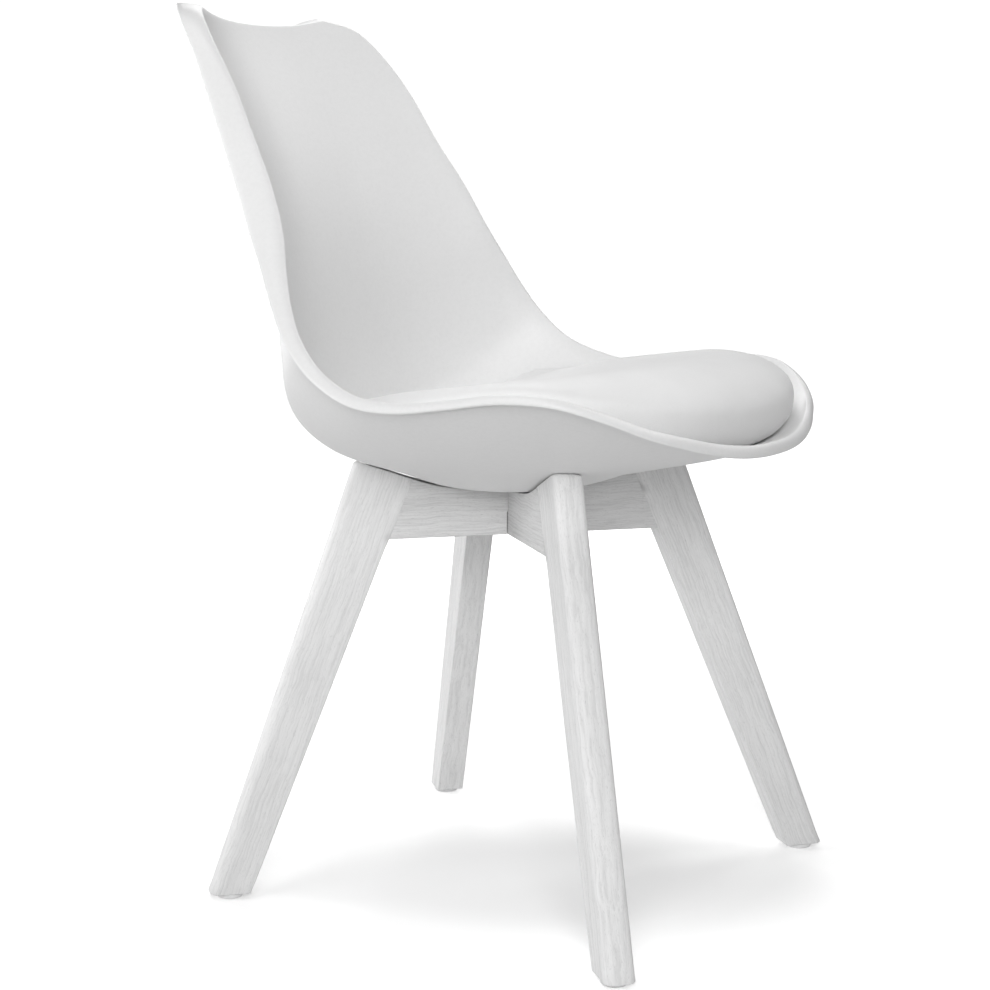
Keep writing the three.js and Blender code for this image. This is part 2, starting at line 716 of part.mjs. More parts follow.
function cushionScrew(x, y) {
  const top = seatHeight(x, y) + SCREW_BITE;
  const seat = screwSeat(x, y) - GAP;
  const bottom = seat - SCREW_HEAD_HEIGHT;
  return turned([
    [0, bottom], [SCREW_HEAD_R * 0.55, bottom], [SCREW_HEAD_R, seat - 0.7], [SCREW_HEAD_R, seat],
    [SCREW_SHANK_R, seat], [SCREW_SHANK_R, top - 2], [0, top],
  ], x, y);
}

// Height of the bottom of the pocket that a screw head bears on.
function screwSeat(x, y) {
  return lowestUnderside(x, y) + SCREW_POCKET_DEPTH;
}

// Lowest height of the shell's underside within a screw head's reach.
function lowestUnderside(x, y) {
  let lowest = Infinity;
  for (let k = 0; k < 16; k += 1) {
    const a = (k / 16) * Math.PI * 2;
    const px = x + (SCREW_HEAD_R + 0.6) * Math.cos(a);
    const py = y + (SCREW_HEAD_R + 0.6) * Math.sin(a);
    const seat = seatHeight(px, py);
    const slope = Math.hypot(
      seatHeight(px + 1, py) - seatHeight(px - 1, py),
      seatHeight(px, py + 1) - seatHeight(px, py - 1),
    ) / 2;
    const boss = bossExtra(new THREE.Vector3(px, py, seat), BOSS_OUTER_RADIUS);
    lowest = Math.min(lowest, seat - (SHELL_THICKNESS + boss) * Math.hypot(1, slope));
  }
  return lowest - 0.5;
}

function glidePad(x, y) {
  const recess = NAIL_HEAD_Z + NAIL_HEAD_HEIGHT + GAP;
  return turned([
    [NAIL_HEAD_R + GAP, 0], [GLIDE_R - GLIDE_EDGE, 0], [GLIDE_R, GLIDE_EDGE],
    [GLIDE_R, GLIDE_HEIGHT], [NAIL_R + GAP, GLIDE_HEIGHT], [NAIL_R + GAP, recess],
    [NAIL_HEAD_R + GAP, recess], [NAIL_HEAD_R + GAP, 0],
  ], x, y);
}

function glideNail(x, y) {
  const headTop = NAIL_HEAD_Z + NAIL_HEAD_HEIGHT;
  return turned([
    [0, NAIL_HEAD_Z], [NAIL_HEAD_R, NAIL_HEAD_Z], [NAIL_HEAD_R, headTop], [NAIL_R, headTop],
    [NAIL_R, NAIL_TOP_Z - 3], [0, NAIL_TOP_Z],
  ], x, y);
}

// ---------------------------------------------------------------- assembly

const group = new THREE.Group();
group.name = 'dining_chair';

function addPart(name, geometry, look) {
  geometry.translate(0, -DEPTH_CENTRE_Y, 0);
  const mesh = new THREE.Mesh(geometry, look);
  mesh.name = name;
  group.add(mesh);
}

addPart('seat_shell', seatShell(), whitePlastic());
addPart('seat_cushion', seatCushion(), whiteLeatherette());
addPart('cushion_board', cushionBoard(), palePly());
screwPlaces().forEach(([x, y], i) => {
  addPart(`cushion_screw_${i + 1}`, cushionScrew(x, y), zincSteel());
});

addPart('cross_beam_lower', crossBeam((-3 * Math.PI) / 4, true), washedBeech());
addPart('cross_beam_upper', crossBeam(-Math.PI / 4, false), washedBeech());

for (const corner of CORNERS) {
  const { name, angle, leg, glideAt } = corner;
  const [boltX, boltY] = boltPlaces()[CORNERS.indexOf(corner)];
  const [glideX, glideY] = [glideAt * Math.cos(angle), glideAt * Math.sin(angle)];
  addPart(`leg_${name}`, legBoard(corner), washedBeech());
  DOWEL_HEIGHTS.forEach((z, i) => {
    const peg = dowelPeg(leg, z, DOWEL_R, DOWEL_LENGTH).rotateZ(angle);
    addPart(`dowel_${name}_${i + 1}`, peg, dowelWood());
  });
  addPart(`seat_bolt_${name}`, seatBolt(boltX, boltY), zincSteel());
  addPart(`bolt_washer_${name}`, boltWasher(boltX, boltY), zincSteel());
  addPart(`threaded_insert_${name}`, threadedInsert(boltX, boltY), insertBrass());
  addPart(`glide_${name}`, glidePad(glideX, glideY), clearPad());
  addPart(`glide_nail_${name}`, glideNail(glideX, glideY), zincSteel());
}

export default group;
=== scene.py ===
"""Dining chair: the visual model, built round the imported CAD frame.

Metres, +Z up, the sitter faces -Y. The shell, the pad, the wood and the glides are finer
versions of their CAD nodes, made from the same driving sizes; hidden hardware is kept.
"""
import math

import bmesh
import bpy
import numpy as np
from mathutils import Matrix, Vector
from mathutils.bvhtree import BVHTree


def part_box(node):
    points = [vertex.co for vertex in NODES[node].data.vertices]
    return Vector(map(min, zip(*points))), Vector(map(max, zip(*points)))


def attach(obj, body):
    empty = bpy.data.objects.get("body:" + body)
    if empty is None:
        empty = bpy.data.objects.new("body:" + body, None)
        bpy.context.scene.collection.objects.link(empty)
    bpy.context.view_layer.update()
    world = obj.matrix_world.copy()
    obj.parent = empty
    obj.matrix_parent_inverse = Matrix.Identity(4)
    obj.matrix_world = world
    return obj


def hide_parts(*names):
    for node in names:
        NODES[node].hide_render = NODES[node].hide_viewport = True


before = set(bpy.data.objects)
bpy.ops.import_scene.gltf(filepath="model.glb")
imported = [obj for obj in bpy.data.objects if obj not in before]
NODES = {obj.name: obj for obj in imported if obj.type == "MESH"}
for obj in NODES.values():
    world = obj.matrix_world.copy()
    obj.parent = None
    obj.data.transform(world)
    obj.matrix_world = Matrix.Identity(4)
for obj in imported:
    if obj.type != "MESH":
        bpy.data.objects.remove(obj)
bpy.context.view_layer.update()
MM = 0.001

# ------------------------------------------------------------------ driving sizes (mm)

# Distance from the crossing of the beams to the middle of the chair's depth.
DEPTH_CENTRE_Y = 27.9

# Sections of the shell's inside face, from the front edge to the top of the back:
# spine y, z | rim half width, y, z | curve power | lip out, lip return | turn y, z
STATIONS = np.array([
    (-258.5, 440.5, 133, -238, 455.5, 2.2, 6.5, 9.5, 0, -1),
    (-243, 436, 176.5, -219, 467, 2.3, 8.5, 8, 0, -1),
    (-210, 427, 210.5, -194, 482, 2.4, 9, 6.5, 0, -1),
    (-160, 416, 235, -160, 494, 2.4, 8, 6, 0, -1),
    (-98, 403, 243, -114, 495, 2.4, 8, 6, 0, -1),
    (-32, 393, 245, -66, 488, 2.5, 8, 6, 0, -1),
    (34, 393, 245, -18, 483, 2.6, 8, 7, 0.1, -1),
    (92, 401, 243.5, 24, 487, 2.8, 9, 8, 0.4, -0.9),
    (140.5, 413, 231, 66.5, 504, 3.1, 9, 9, 0.75, -0.65),
    (173, 438, 221.5, 94, 529, 3.4, 10, 11, 0.95, -0.35),
    (186.5, 472, 211, 111.5, 556, 3.1, 10, 14, 1, -0.1),
    (195.5, 518, 197, 126.5, 588, 2.9, 11, 19, 1, 0),
    (204, 568, 180.5, 141.5, 623, 2.8, 13.5, 26, 1, 0),
    (218, 624, 170, 161.5, 665, 2.6, 12, 28.5, 1, 0),
    (240, 683, 159.5, 189, 711, 2.4, 10.5, 27, 1, 0),
    (266, 740, 152, 214, 755, 2.3, 11, 24, 1, 0),
    (289, 788, 144, 241, 792, 2.3, 11, 18, 1, 0),
    (299, 811, 129, 266, 820, 2.3, 8, 20, 1, 0.05),
    (303, 821, 102, 287, 830, 2.2, 5, 24, 1, 0),
])
SHELL_THICKNESS = 4.5
# extra thickness for the bolts: all of it up to the flat radius, none past the outer one
BOSS_EXTRA, BOSS_FLAT, BOSS_OUTER = 6.0, 70.0, 125.0
# the lip along the top edge, between the ears
TOP_EDGE_OUT, TOP_EDGE_RETURN, TOP_EDGE_DROOP = 2.5, 18.0, 0.35

# legs and beams: thickness of their boards, heights, and distances from the crossing
BOARD = 28.4
BEAM_BOTTOM, BEAM_LAP = 337.0, 359.0
LEG_BOTTOM, LEG_TOP = 5.0, 416.0
OUTER_EDGE_TOP = 400.0
FRONT_LEG = dict(foot_in=280, beam_in=137, foot_out=320, top_out=166.5)
REAR_LEG = dict(foot_in=263.5, beam_in=129.5, foot_out=301.5, top_out=162.5)
# rounded outer edge of a leg: its depth and the power of its curve
NOSE, NOSE_POWER = 11.0, 2.8
# the foot and the top are rounded towards a point this far inward of the section's middle
MIDDLE_SHIFT = 3.0
# a leg's inner corners: their bevel, and how far the edge is let into the beam's end
LEG_BEVEL, LEG_TUCK = 1.3, 0.25
# rounding of a leg's foot and top, by part of its section, and the strip under the top's
FOOT_ROUND = 1.2
TOP_ROUND = {"in": 0.0, "bevel": 0.6, "flat": 1.0, "nose": 3.6}
TOP_STRIP = 0.6
BEAM_EASE = 1.0
# clearance between the wood and the shell above it
SADDLE_GAP = 1.3
SADDLE_BOSS_OUTER = 138.0
# clearance at the sides of the half-lap notches, and between the two halves
LAP_LOOSE, LAP_TIGHT, LAP_REST = 1.0, 0.12, 0.15
BOLT_AT, BOLT_HOLE_R = 60.0, 3.3
BOLT_HEAD_R, BOLT_HEAD_DEPTH = 8.4, 8.0
CUT_PAST = 10.0
GLIDE_R, GLIDE_H = 12.2, 4.7
GLIDE_TOP_ROUND, GLIDE_FOOT_ROUND = 0.5, 1.9
NAIL_HEAD_R, NAIL_HEAD_DEPTH, NAIL_R = 3.5, 2.9, 1.5
# compass angle, sizes of the leg, distance of its glide from the crossing
CORNERS = {
    "front_right": (-0.75 * math.pi, FRONT_LEG, 299.5),
    "front_left": (-0.25 * math.pi, FRONT_LEG, 299.5),
    "rear_left": (0.25 * math.pi, REAR_LEG, 281.5),
    "rear_right": (0.75 * math.pi, REAR_LEG, 281.5),
}


# ------------------------------------------------------------------ mesh helpers

def in_scene(name, data):
    """A new object of the scene that shows a mesh, a lamp or a camera."""
    obj = bpy.data.objects.new(name, data)
    bpy.context.scene.collection.objects.link(obj)
    return obj


def from_edit(name, edit):
    """A new mesh object from an edit mesh, which is freed."""
    mesh = bpy.data.meshes.new(name)
    edit.to_mesh(mesh)
    edit.free()
    return in_scene(name, mesh)


def ring_quads(rings, count):
    """Faces between rings of points that are numbered one ring after the other."""
    return [
        (i * count + k, (i + 1) * count + k, (i + 1) * count + k2, i * count + k2)
        for i in range(rings - 1) for k, k2 in zip(range(count), [*range(1, count), 0])
    ]


def make_piece(name, points, faces):
    """A smooth mesh object from points in mm, measured from the crossing of the beams."""
    mesh = bpy.data.meshes.new(name)
    moved = (np.asarray(points, float) - (0, DEPTH_CENTRE_Y, 0)) * MM
    mesh.from_pydata([tuple(p) for p in moved], [], [tuple(int(i) for i in f) for f in faces])
    mesh.update()
    tidy = bmesh.new()
    tidy.from_mesh(mesh)
    bmesh.ops.remove_doubles(tidy, verts=tidy.verts, dist=1e-6)
    bmesh.ops.recalc_face_normals(tidy, faces=tidy.faces)
    tidy.to_mesh(mesh)
    tidy.free()
    mesh.polygons.foreach_set("use_smooth", [True] * len(mesh.polygons))
    return in_scene(name, mesh)


def settle_modifiers(obj):
    """Replaces the mesh by its evaluated result and drops the modifiers."""
    graph = bpy.context.evaluated_depsgraph_get()
    mesh = bpy.data.meshes.new_from_object(obj.evaluated_get(graph))
    obj.modifiers.clear()
    obj.data = mesh


def sharp_by_angle(obj, degrees):
    """Smooth faces, with edges over the angle left sharp."""
    mesh = obj.data
    edit = bmesh.new()
    edit.from_mesh(mesh)
    limit = math.radians(degrees)
    for face in edit.faces:
        face.smooth = True
    for edge in edit.edges:
        edge.smooth = len(edge.link_faces) == 2 and edge.calc_face_angle() < limit
    edit.to_mesh(mesh)
    edit.free()


def lathe(name, outline, x, y, segments=64):
    """Turned piece about an upright axis from an open or closed outline of (r, z)."""
    points, faces = [], []
    rows = []
    for r, z in outline:
        if r < 1e-6:
            rows.append([len(points)] * segments)
            points.append((x, y, z))
            continue
        rows.append(list(range(len(points), len(points) + segments)))
        for k in range(segments):
            a = 2 * math.pi * k / segments
            points.append((x + r * math.cos(a), y + r * math.sin(a), z))
    for low, high in zip(rows, rows[1:]):
        for k in range(segments):
            k2 = (k + 1) % segments
            ring = [low[k], low[k2], high[k2], high[k]]
            face = [p for i, p in enumerate(ring) if p not in ring[:i]]
            if len(face) > 2:
                faces.append(face)
    return make_piece(name, points, faces)


def rounded(corner_from, corner, corner_to, radius, steps=5):
    """Points of an arc-like turn at a corner of a 2-D outline."""
    a, b, c = (np.array(p, float) for p in (corner_from, corner, corner_to))
    p0 = b + (a - b) / np.linalg.norm(a - b) * radius
    p2 = b + (c - b) / np.linalg.norm(c - b) * radius
    out = []
    for i in range(steps + 1):
        t = i / steps
        w0, w1, w2 = (1 - t) ** 2, 1.1716 * t * (1 - t), t ** 2
        out.append(tuple((w0 * p0 + w1 * b + w2 * p2) / (w0 + w1 + w2)))
    return out


# ------------------------------------------------------------------ shell surface

# part of the underside that lies over the legs and beams: first and last station,
# and how far it reaches towards the rim
UNDER_STATIONS = (1, 10)
UNDER_REACH = 0.92
# how far the lip's curve runs on from the rim and back from its free edge
LIP_START, LIP_END = 0.45, 0.6
# rounding of the free edge: steps, and its bulge as a part of the thickness
LIP_EDGE_STEPS, LIP_EDGE_BULGE = 4, 0.32


def station_at(at):
    """Rows of shell numbers at any place between the stations; at may be an array."""
    at = np.clip(np.asarray(at, float), 0, len(STATIONS) - 1)
    i = np.minimum(np.floor(at).astype(int), len(STATIONS) - 2)
    f = (at - i)[..., None]
    padded = np.vstack([
        2 * STATIONS[0] - STATIONS[1], STATIONS, 2 * STATIONS[-1] - STATIONS[-2],
    ])
    p0, p1, p2, p3 = (padded[i + k] for k in range(4))
    cube = -p0 + 3 * p1 - 3 * p2 + p3
    square = 2 * p0 - 5 * p1 + 4 * p2 - p3
    return 0.5 * (2 * p1 + (p2 - p0) * f + square * f * f + cube * f ** 3)


def inside_point(at, side):
    """Points of the shell's inside face; side runs from -1 to 1 across it."""
    row = station_at(at)
    y0, z0, half, y1, z1, power = (row[..., k] for k in range(6))
    rise = np.abs(side) ** power
    return np.stack([half * side, y0 + (y1 - y0) * rise, z0 + (z1 - z0) * rise], -1)


def smoothstep(value, low, high):
    """0 up to low, 1 from high on, with an S curve between."""
    t = np.clip((value - low) / (high - low), 0, 1)
    return t * t * (3 - 2 * t)


def boss(points, outer):
    """Extra thickness of the shell over the crossing of the beams."""
    radius = np.hypot(points[..., 0], points[..., 1])
    extra = BOSS_EXTRA * (1 - smoothstep(radius, BOSS_FLAT, outer))
    return np.where(points[..., 2] < STATIONS[0][1], extra, 0.0)


def unit_rows(vectors):
    """The vectors made one unit long."""
    return vectors / np.maximum(np.linalg.norm(vectors, axis=-1, keepdims=True), 1e-9)


def smooth_loop(vectors, times):
    """Directions averaged with their neighbours round a closed loop."""
    for _ in range(times):
        vectors = unit_rows(np.roll(vectors, 1, 0) + 2 * vectors + np.roll(vectors, -1, 0))
    return vectors


def shell_sheet(rows, columns, lip_rows):
    """Inside surface with its lip: points, quads and the outermost ring."""
    at = np.linspace(0, len(STATIONS) - 1, rows + 1)
    side = np.linspace(-1, 1, columns + 1)
    grid = inside_point(at[:, None], side[None, :])
    place = np.arange((rows + 1) * (columns + 1)).reshape(rows + 1, columns + 1)
    quads = [
        (place[i, j], place[i, j + 1], place[i + 1, j + 1], place[i + 1, j])
        for i in range(rows) for j in range(columns)
    ]
    loop = [(0, j) for j in range(columns)]
    loop += [(i, columns) for i in range(rows)]
    loop += [(rows, j) for j in range(columns, 0, -1)]
    loop += [(i, 0) for i in range(rows, 0, -1)]
    ii, jj = np.array(loop).T
    rim = grid[ii, jj]
    leave = np.zeros_like(rim)
    for k, (i, j) in enumerate(loop):
        for hit, (a, b) in (
            (i == 0, (1, j)), (i == rows, (rows - 1, j)),
            (j == 0, (i, 1)), (j == columns, (i, columns - 1)),
        ):
            if hit:
                leave[k] += unit_rows(grid[i, j] - grid[a, b])
    # the number of passes keeps the smoothed length along the rim the same as in the CAD
    passes = round(4 * (rows / 36) ** 2)
    leave = smooth_loop(unit_rows(leave), passes)
    along = smooth_loop(unit_rows(np.roll(rim, -1, 0) - np.roll(rim, 1, 0)), passes // 2)
    row = station_at(at[ii])
    out, back = row[:, 6:7].copy(), row[:, 7:8].copy()
    turn = np.stack([0 * row[:, 8], row[:, 8], row[:, 9]], -1)
    top = ii == rows
    ear = np.abs(side[jj][top]) ** 3
    out[top, 0] = TOP_EDGE_OUT + (out[top, 0] - TOP_EDGE_OUT) * ear
    back[top, 0] = TOP_EDGE_RETURN + (back[top, 0] - TOP_EDGE_RETURN) * ear
    turn[top] = np.stack([0 * ear, 1 + 0 * ear, -TOP_EDGE_DROOP * (1 - ear)], -1)
    turn = unit_rows(turn)
    turn = unit_rows(turn - (turn * along).sum(1, keepdims=True) * along)
    outward = unit_rows(np.cross(turn, along))
    end = rim + out * outward + back * turn
    first = rim + LIP_START * out * leave
    second = end - LIP_END * back * turn
    points = [grid.reshape(-1, 3)]
    total = len(points[0])
    ring = place[ii, jj]
    count = len(loop)
    for q in range(1, lip_rows + 1):
        t = q / lip_rows
        points.append(
            (1 - t) ** 3 * rim + 3 * (1 - t) ** 2 * t * first
            + 3 * (1 - t) * t * t * second + t ** 3 * end
        )
        fresh = np.arange(total, total + count)
        total += count
        for k in range(count):
            k2 = (k + 1) % count
            quads.append((ring[k], fresh[k], fresh[k2], ring[k2]))
        ring = fresh
    return np.vstack(points), np.array(quads), ring


def sheet_normals(points, quads):
    """Unit normals of the points, weighted by the area of the faces round them."""
    normals = np.zeros_like(points)
    a, b, c, d = (points[quads[:, k]] for k in range(4))
    face = np.cross(c - a, d - b)
    for k in range(4):
        np.add.at(normals, quads[:, k], face)
    return unit_rows(normals)


def under_surface(extra_gap, boss_outer):
    """A grid of points on the shell's underside over the seat, lowered by a gap."""
    at = np.linspace(*UNDER_STATIONS, 181)[:, None]
    side = np.linspace(-UNDER_REACH, UNDER_REACH, 121)[None, :]
    points = inside_point(at, side)
    step = 0.01
    across = inside_point(at, side + step) - inside_point(at, side - step)
    lengthwise = inside_point(at + step, side) - inside_point(at - step, side)
    normal = unit_rows(np.cross(across, lengthwise))
    depth = SHELL_THICKNESS + boss(points, boss_outer) + extra_gap
    return points - normal * depth[..., None]


def height_field(samples, reach, pitch=2.0):
    """Bilinear height lookup over a square of half width reach, from a grid of points."""
    n, m = samples.shape[:2]
    quads = [
        (i * m + j, i * m + j + 1, (i + 1) * m + j + 1, (i + 1) * m + j)
        for i in range(n - 1) for j in range(m - 1)
    ]
    tree = BVHTree.FromPolygons([Vector(p) for p in samples.reshape(-1, 3)], quads)
    count = int(2 * reach / pitch) + 1
    axis = np.linspace(-reach, reach, count)
    table = np.full((count, count), np.nan)
    for i, x in enumerate(axis):
        for j, y in enumerate(axis):
            hit = tree.ray_cast(Vector((x, y, 300)), Vector((0, 0, 1)))[0]
            if hit is not None:
                table[i, j] = hit.z

    def look(x, y):
        u = np.clip((np.asarray(x, float) + reach) / pitch, 0, count - 1.001)
        v = np.clip((np.asarray(y, float) + reach) / pitch, 0, count - 1.001)
        i, j = u.astype(int), v.astype(int)
        f, g = u - i, v - j
        return (
            table[i, j] * (1 - f) * (1 - g) + table[i + 1, j] * f * (1 - g)
            + table[i, j + 1] * (1 - f) * g + table[i + 1, j + 1] * f * g
        )
    return look


def build_shell():
    """The bucket with its rolled lip, closed by a rounded strip along the lip's free edge."""
    points, quads, ring = shell_sheet(108, 60, 9)
    normals = sheet_normals(points, quads)
    depth = SHELL_THICKNESS + boss(points, BOSS_OUTER)
    outer = points - normals * depth[:, None]
    count = len(points)
    faces = [tuple(q) for q in quads] + [tuple(count + i for i in q[::-1]) for q in quads]
    low, high = points[ring], outer[ring]
    everything = [points, outer]
    middle, half = (low + high) / 2, (high - low) / 2
    edge_out = unit_rows(low - points[ring - len(ring)])
    bulge = SHELL_THICKNESS * LIP_EDGE_BULGE
    rows = [ring]
    total = 2 * count
    for q in range(1, LIP_EDGE_STEPS):
        a = math.pi * q / LIP_EDGE_STEPS
        everything.append(middle - half * math.cos(a) + edge_out * (bulge * math.sin(a)))
        rows.append(np.arange(total, total + len(ring)))
        total += len(ring)
    rows.append(ring + count)
    for first, second in zip(rows, rows[1:]):
        for k in range(len(ring)):
            k2 = (k + 1) % len(ring)
            faces.append((first[k], second[k], second[k2], first[k2]))
    return make_piece("shell", np.vstack(everything), faces)


# ------------------------------------------------------------------ seat pad

PAD_LIFT = 1.2
PAD_MIN_THICKNESS = 6.0
# outline seen from above: a superellipse, a little longer to the rear than to the front
PAD_CENTRE_Y, PAD_HALF_WIDTH = -45.0, 236.0
PAD_FRONT, PAD_REAR, PAD_POWER = 203.5, 216.0, 2.5
# y and height of the ridges along the pad's sides
PAD_TOP = np.array([
    (-265, 498), (-200, 503), (-150, 504.5), (-110, 503.5), (-81, 500), (-36, 494.5), (7, 488),
    (61, 475.5), (97, 467.5), (133, 459.5), (166, 452.5),
], float)
RIDGE_HALF_WIDTH = 212.0
RIDGE_BLEND = 12.0
# rise of the pad's middle over its side ridges, at the front and at the rear
PAD_CROWN, PAD_DISH = 2.0, -10.0
# height of the pad's widest line at the front and how far it rises to the sides,
# and its place between the pad's bottom and top at the rear
WAIST_FRONT, WAIST_RISE, WAIST_POWER, WAIST_REAR = 467.0, 34.5, 2.4, 0.3
WAIST_UNDER_TOP, WAIST_OVER_SEAT = 9.0, 3.0
# width of the rolled edge over the widest line: at the sides, more at the front
ROLL_TOP, ROLL_TOP_FRONT, ROLL_TOP_REAR = 21.0, 37.0, -1.0
# width of the tuck under the widest line: at the sides, more in the middle of the front
ROLL_LOW, ROLL_LOW_FRONT = 4.0, 9.0
ROLL_POWER = 2.2
# powers of the roll's profile: upper part, added to it at the front, lower part
FULL_TOP, FULL_TOP_FRONT, FULL_LOW = 0.5, 0.25, 0.5
VOXEL = 5.0
PRESSURE = 4.0
CLOTH_QUALITY = 5
SIM_FRAMES = 20
SWELL_CAP = 2.0
SWELL_SMOOTHING = 24
# least distance from the shell, before and after the pad's faces are divided
CLEAR_BEFORE, CLEAR_AFTER = 0.7, 0.5


def pad_top(x, y):
    """Height of the pad's top; the ridge line's corners are eased by averaging."""
    ridge = np.interp(y, PAD_TOP[:, 0], PAD_TOP[:, 1])
    for shift in (-RIDGE_BLEND, RIDGE_BLEND):
        ridge = ridge + np.interp(y + shift, PAD_TOP[:, 0], PAD_TOP[:, 1])
    across = np.clip(np.abs(x) / RIDGE_HALF_WIDTH, 0, 1)
    middle = PAD_CROWN + (PAD_DISH - PAD_CROWN) * smoothstep(y, -190, -50)
    return ridge / 3 + middle * (1 - across ** 3)


def pad_outline(angle):
    """The pad's widest line seen from above."""
    c, s = np.cos(angle), np.sin(angle)
    depth = np.where(s < 0, PAD_FRONT, PAD_REAR)
    x = np.sign(c) * np.abs(c) ** (2 / PAD_POWER) * PAD_HALF_WIDTH
    y = np.sign(s) * np.abs(s) ** (2 / PAD_POWER) * depth
    return x, PAD_CENTRE_Y + y


def build_pad(seat):
    """Closed pad form: its bottom lies along the shell, its top rolls over at the edge."""
    spokes, rings = 160, 34
    angle = np.linspace(0, 2 * math.pi, spokes, endpoint=False)
    ox, oy = pad_outline(angle)
    front = smoothstep(-oy, 100, 220)
    rear = smoothstep(oy, 20, 150)
    roll_top = ROLL_TOP + ROLL_TOP_FRONT * front + ROLL_TOP_REAR * rear
    # the cover stays full at the corners of the front, where it hides the board
    roll_low = ROLL_LOW + ROLL_LOW_FRONT * front * smoothstep(-np.abs(ox), -150, -60)
    softness = FULL_TOP + FULL_TOP_FRONT * front
    # height of the widest line: lowest in the middle of the front, rising towards the sides
    rim_low = seat(ox, oy) + PAD_LIFT
    rim_high = np.maximum(pad_top(ox, oy), rim_low + PAD_MIN_THICKNESS)
    wide = WAIST_FRONT + WAIST_RISE * (np.abs(ox) / PAD_HALF_WIDTH) ** WAIST_POWER
    wide = np.maximum(np.minimum(wide, rim_high - WAIST_UNDER_TOP), rim_low + WAIST_OVER_SEAT)
    behind = smoothstep(oy, -60, 10)
    middle = wide + (rim_low + WAIST_REAR * (rim_high - rim_low) - wide) * behind

    def level(reach, inward, upper):
        """The ring of points at a part of the outline's reach, on the top or the bottom."""
        x = ox * reach
        y = PAD_CENTRE_Y + (oy - PAD_CENTRE_Y) * reach
        low = seat(x, y) + PAD_LIFT
        high = np.maximum(pad_top(x, y), low + PAD_MIN_THICKNESS)
        roll = roll_top if upper else roll_low
        full = 1 - (1 - np.clip(inward / roll, 0, 1)) ** ROLL_POWER
        if upper:
            z = middle + (high - middle) * full ** softness
        else:
            z = middle - (middle - low) * full ** FULL_LOW
        return np.stack([x, y, z], -1)

    length = np.hypot(ox, oy - PAD_CENTRE_Y)
    spacing = (np.linspace(0, 1, rings + 1)[1:]) ** 2
    top, bottom = [], []
    for upper, rows in ((True, top), (False, bottom)):
        for t in spacing[::-1]:
            inward = t * length * 0.995
            rows.append(level(1 - inward / length, inward, upper))
    edge = level(np.ones(spokes), np.zeros(spokes), True)
    ordered = top + [edge] + bottom[::-1]
    faces = ring_quads(len(ordered), spokes)
    faces.append(tuple(range(spokes))[::-1])
    last = (len(ordered) - 1) * spokes
    faces.append(tuple(range(last, last + spokes)))
    return make_piece("pad", np.vstack(ordered), faces)


def spread(mesh, moved, times):
    """Evens out per-vertex moves over the mesh, so the tight cover shows no wrinkles."""
    edges = np.empty(len(mesh.edges) * 2, int)
    mesh.edges.foreach_get("vertices", edges)
    a, b = edges[::2], edges[1::2]
    share = np.bincount(edges, minlength=len(moved))[:, None]
    for _ in range(times):
        total = np.zeros_like(moved)
        np.add.at(total, a, moved[b])
        np.add.at(total, b, moved[a])
        moved = 0.4 * moved + 0.6 * total / share
    return moved


def relax_surface(obj, times):
    """Moves every point part of the way to the middle of its neighbours."""
    relax = obj.modifiers.new("relax", "SMOOTH")
    relax.factor, relax.iterations = 0.5, times
    settle_modifiers(obj)


def inflate(pad):
    """Remeshes the pad, swells it with cloth pressure and caps how far a point moves."""
    remesh = pad.modifiers.new("remesh", "REMESH")
    remesh.mode = "VOXEL"
    remesh.voxel_size = VOXEL * MM
    remesh.use_smooth_shade = True
    settle_modifiers(pad)
    relax_surface(pad, 4)
    mesh = pad.data
    before = np.empty(len(mesh.vertices) * 3)
    mesh.vertices.foreach_get("co", before)
    before = before.reshape(-1, 3)
    cloth = pad.modifiers.new("cloth", "CLOTH")
    cloth.settings.use_pressure = True
    cloth.settings.uniform_pressure_force = PRESSURE
    cloth.settings.effector_weights.gravity = 0
    cloth.settings.quality = CLOTH_QUALITY
    cloth.point_cache.frame_start, cloth.point_cache.frame_end = 1, SIM_FRAMES
    scene = bpy.context.scene
    for number in range(1, SIM_FRAMES + 1):
        scene.frame_set(number)
    graph = bpy.context.evaluated_depsgraph_get()
    swollen = np.empty(len(before) * 3)
    pad.evaluated_get(graph).data.vertices.foreach_get("co", swollen)
    moved = swollen.reshape(-1, 3) - before
    size = np.linalg.norm(moved, axis=1, keepdims=True)
    cap = SWELL_CAP * MM
    moved *= cap * np.tanh(size / cap) / np.maximum(size, 1e-9)
    moved = spread(mesh, moved, SWELL_SMOOTHING)
    pad.modifiers.clear()
    mesh.vertices.foreach_set("co", (before + moved).ravel())
    mesh.update()
    scene.frame_set(1)


def keep_clear(pad, gap):
    """Pushes points of the pad that come too near the shell's inside face off it."""
    points, quads, _ = shell_sheet(72, 48, 6)
    points = (points - (0, DEPTH_CENTRE_Y, 0)) * MM
    tree = BVHTree.FromPolygons([Vector(p) for p in points], [tuple(map(int, q)) for q in quads])
    for vertex in pad.data.vertices:
        near, normal, _, _ = tree.find_nearest(vertex.co)
        inside = (vertex.co - near).dot(normal)
        if inside < gap:
            vertex.co += normal * (gap - inside)
    pad.data.update()


# ------------------------------------------------------------------ wood

def in_edge(leg, z):
    """Distance of a leg's inner edge from the crossing's axis at a height."""
    t = (z - LEG_BOTTOM) / (BEAM_BOTTOM - LEG_BOTTOM)
    return leg["foot_in"] + (leg["beam_in"] - leg["foot_in"]) * t


def out_edge(leg, z):
    """Distance of a leg's outer edge from the crossing's axis at a height."""
    t = (z - LEG_BOTTOM) / (OUTER_EDGE_TOP - LEG_BOTTOM)
    return leg["foot_out"] + (leg["top_out"] - leg["foot_out"]) * t


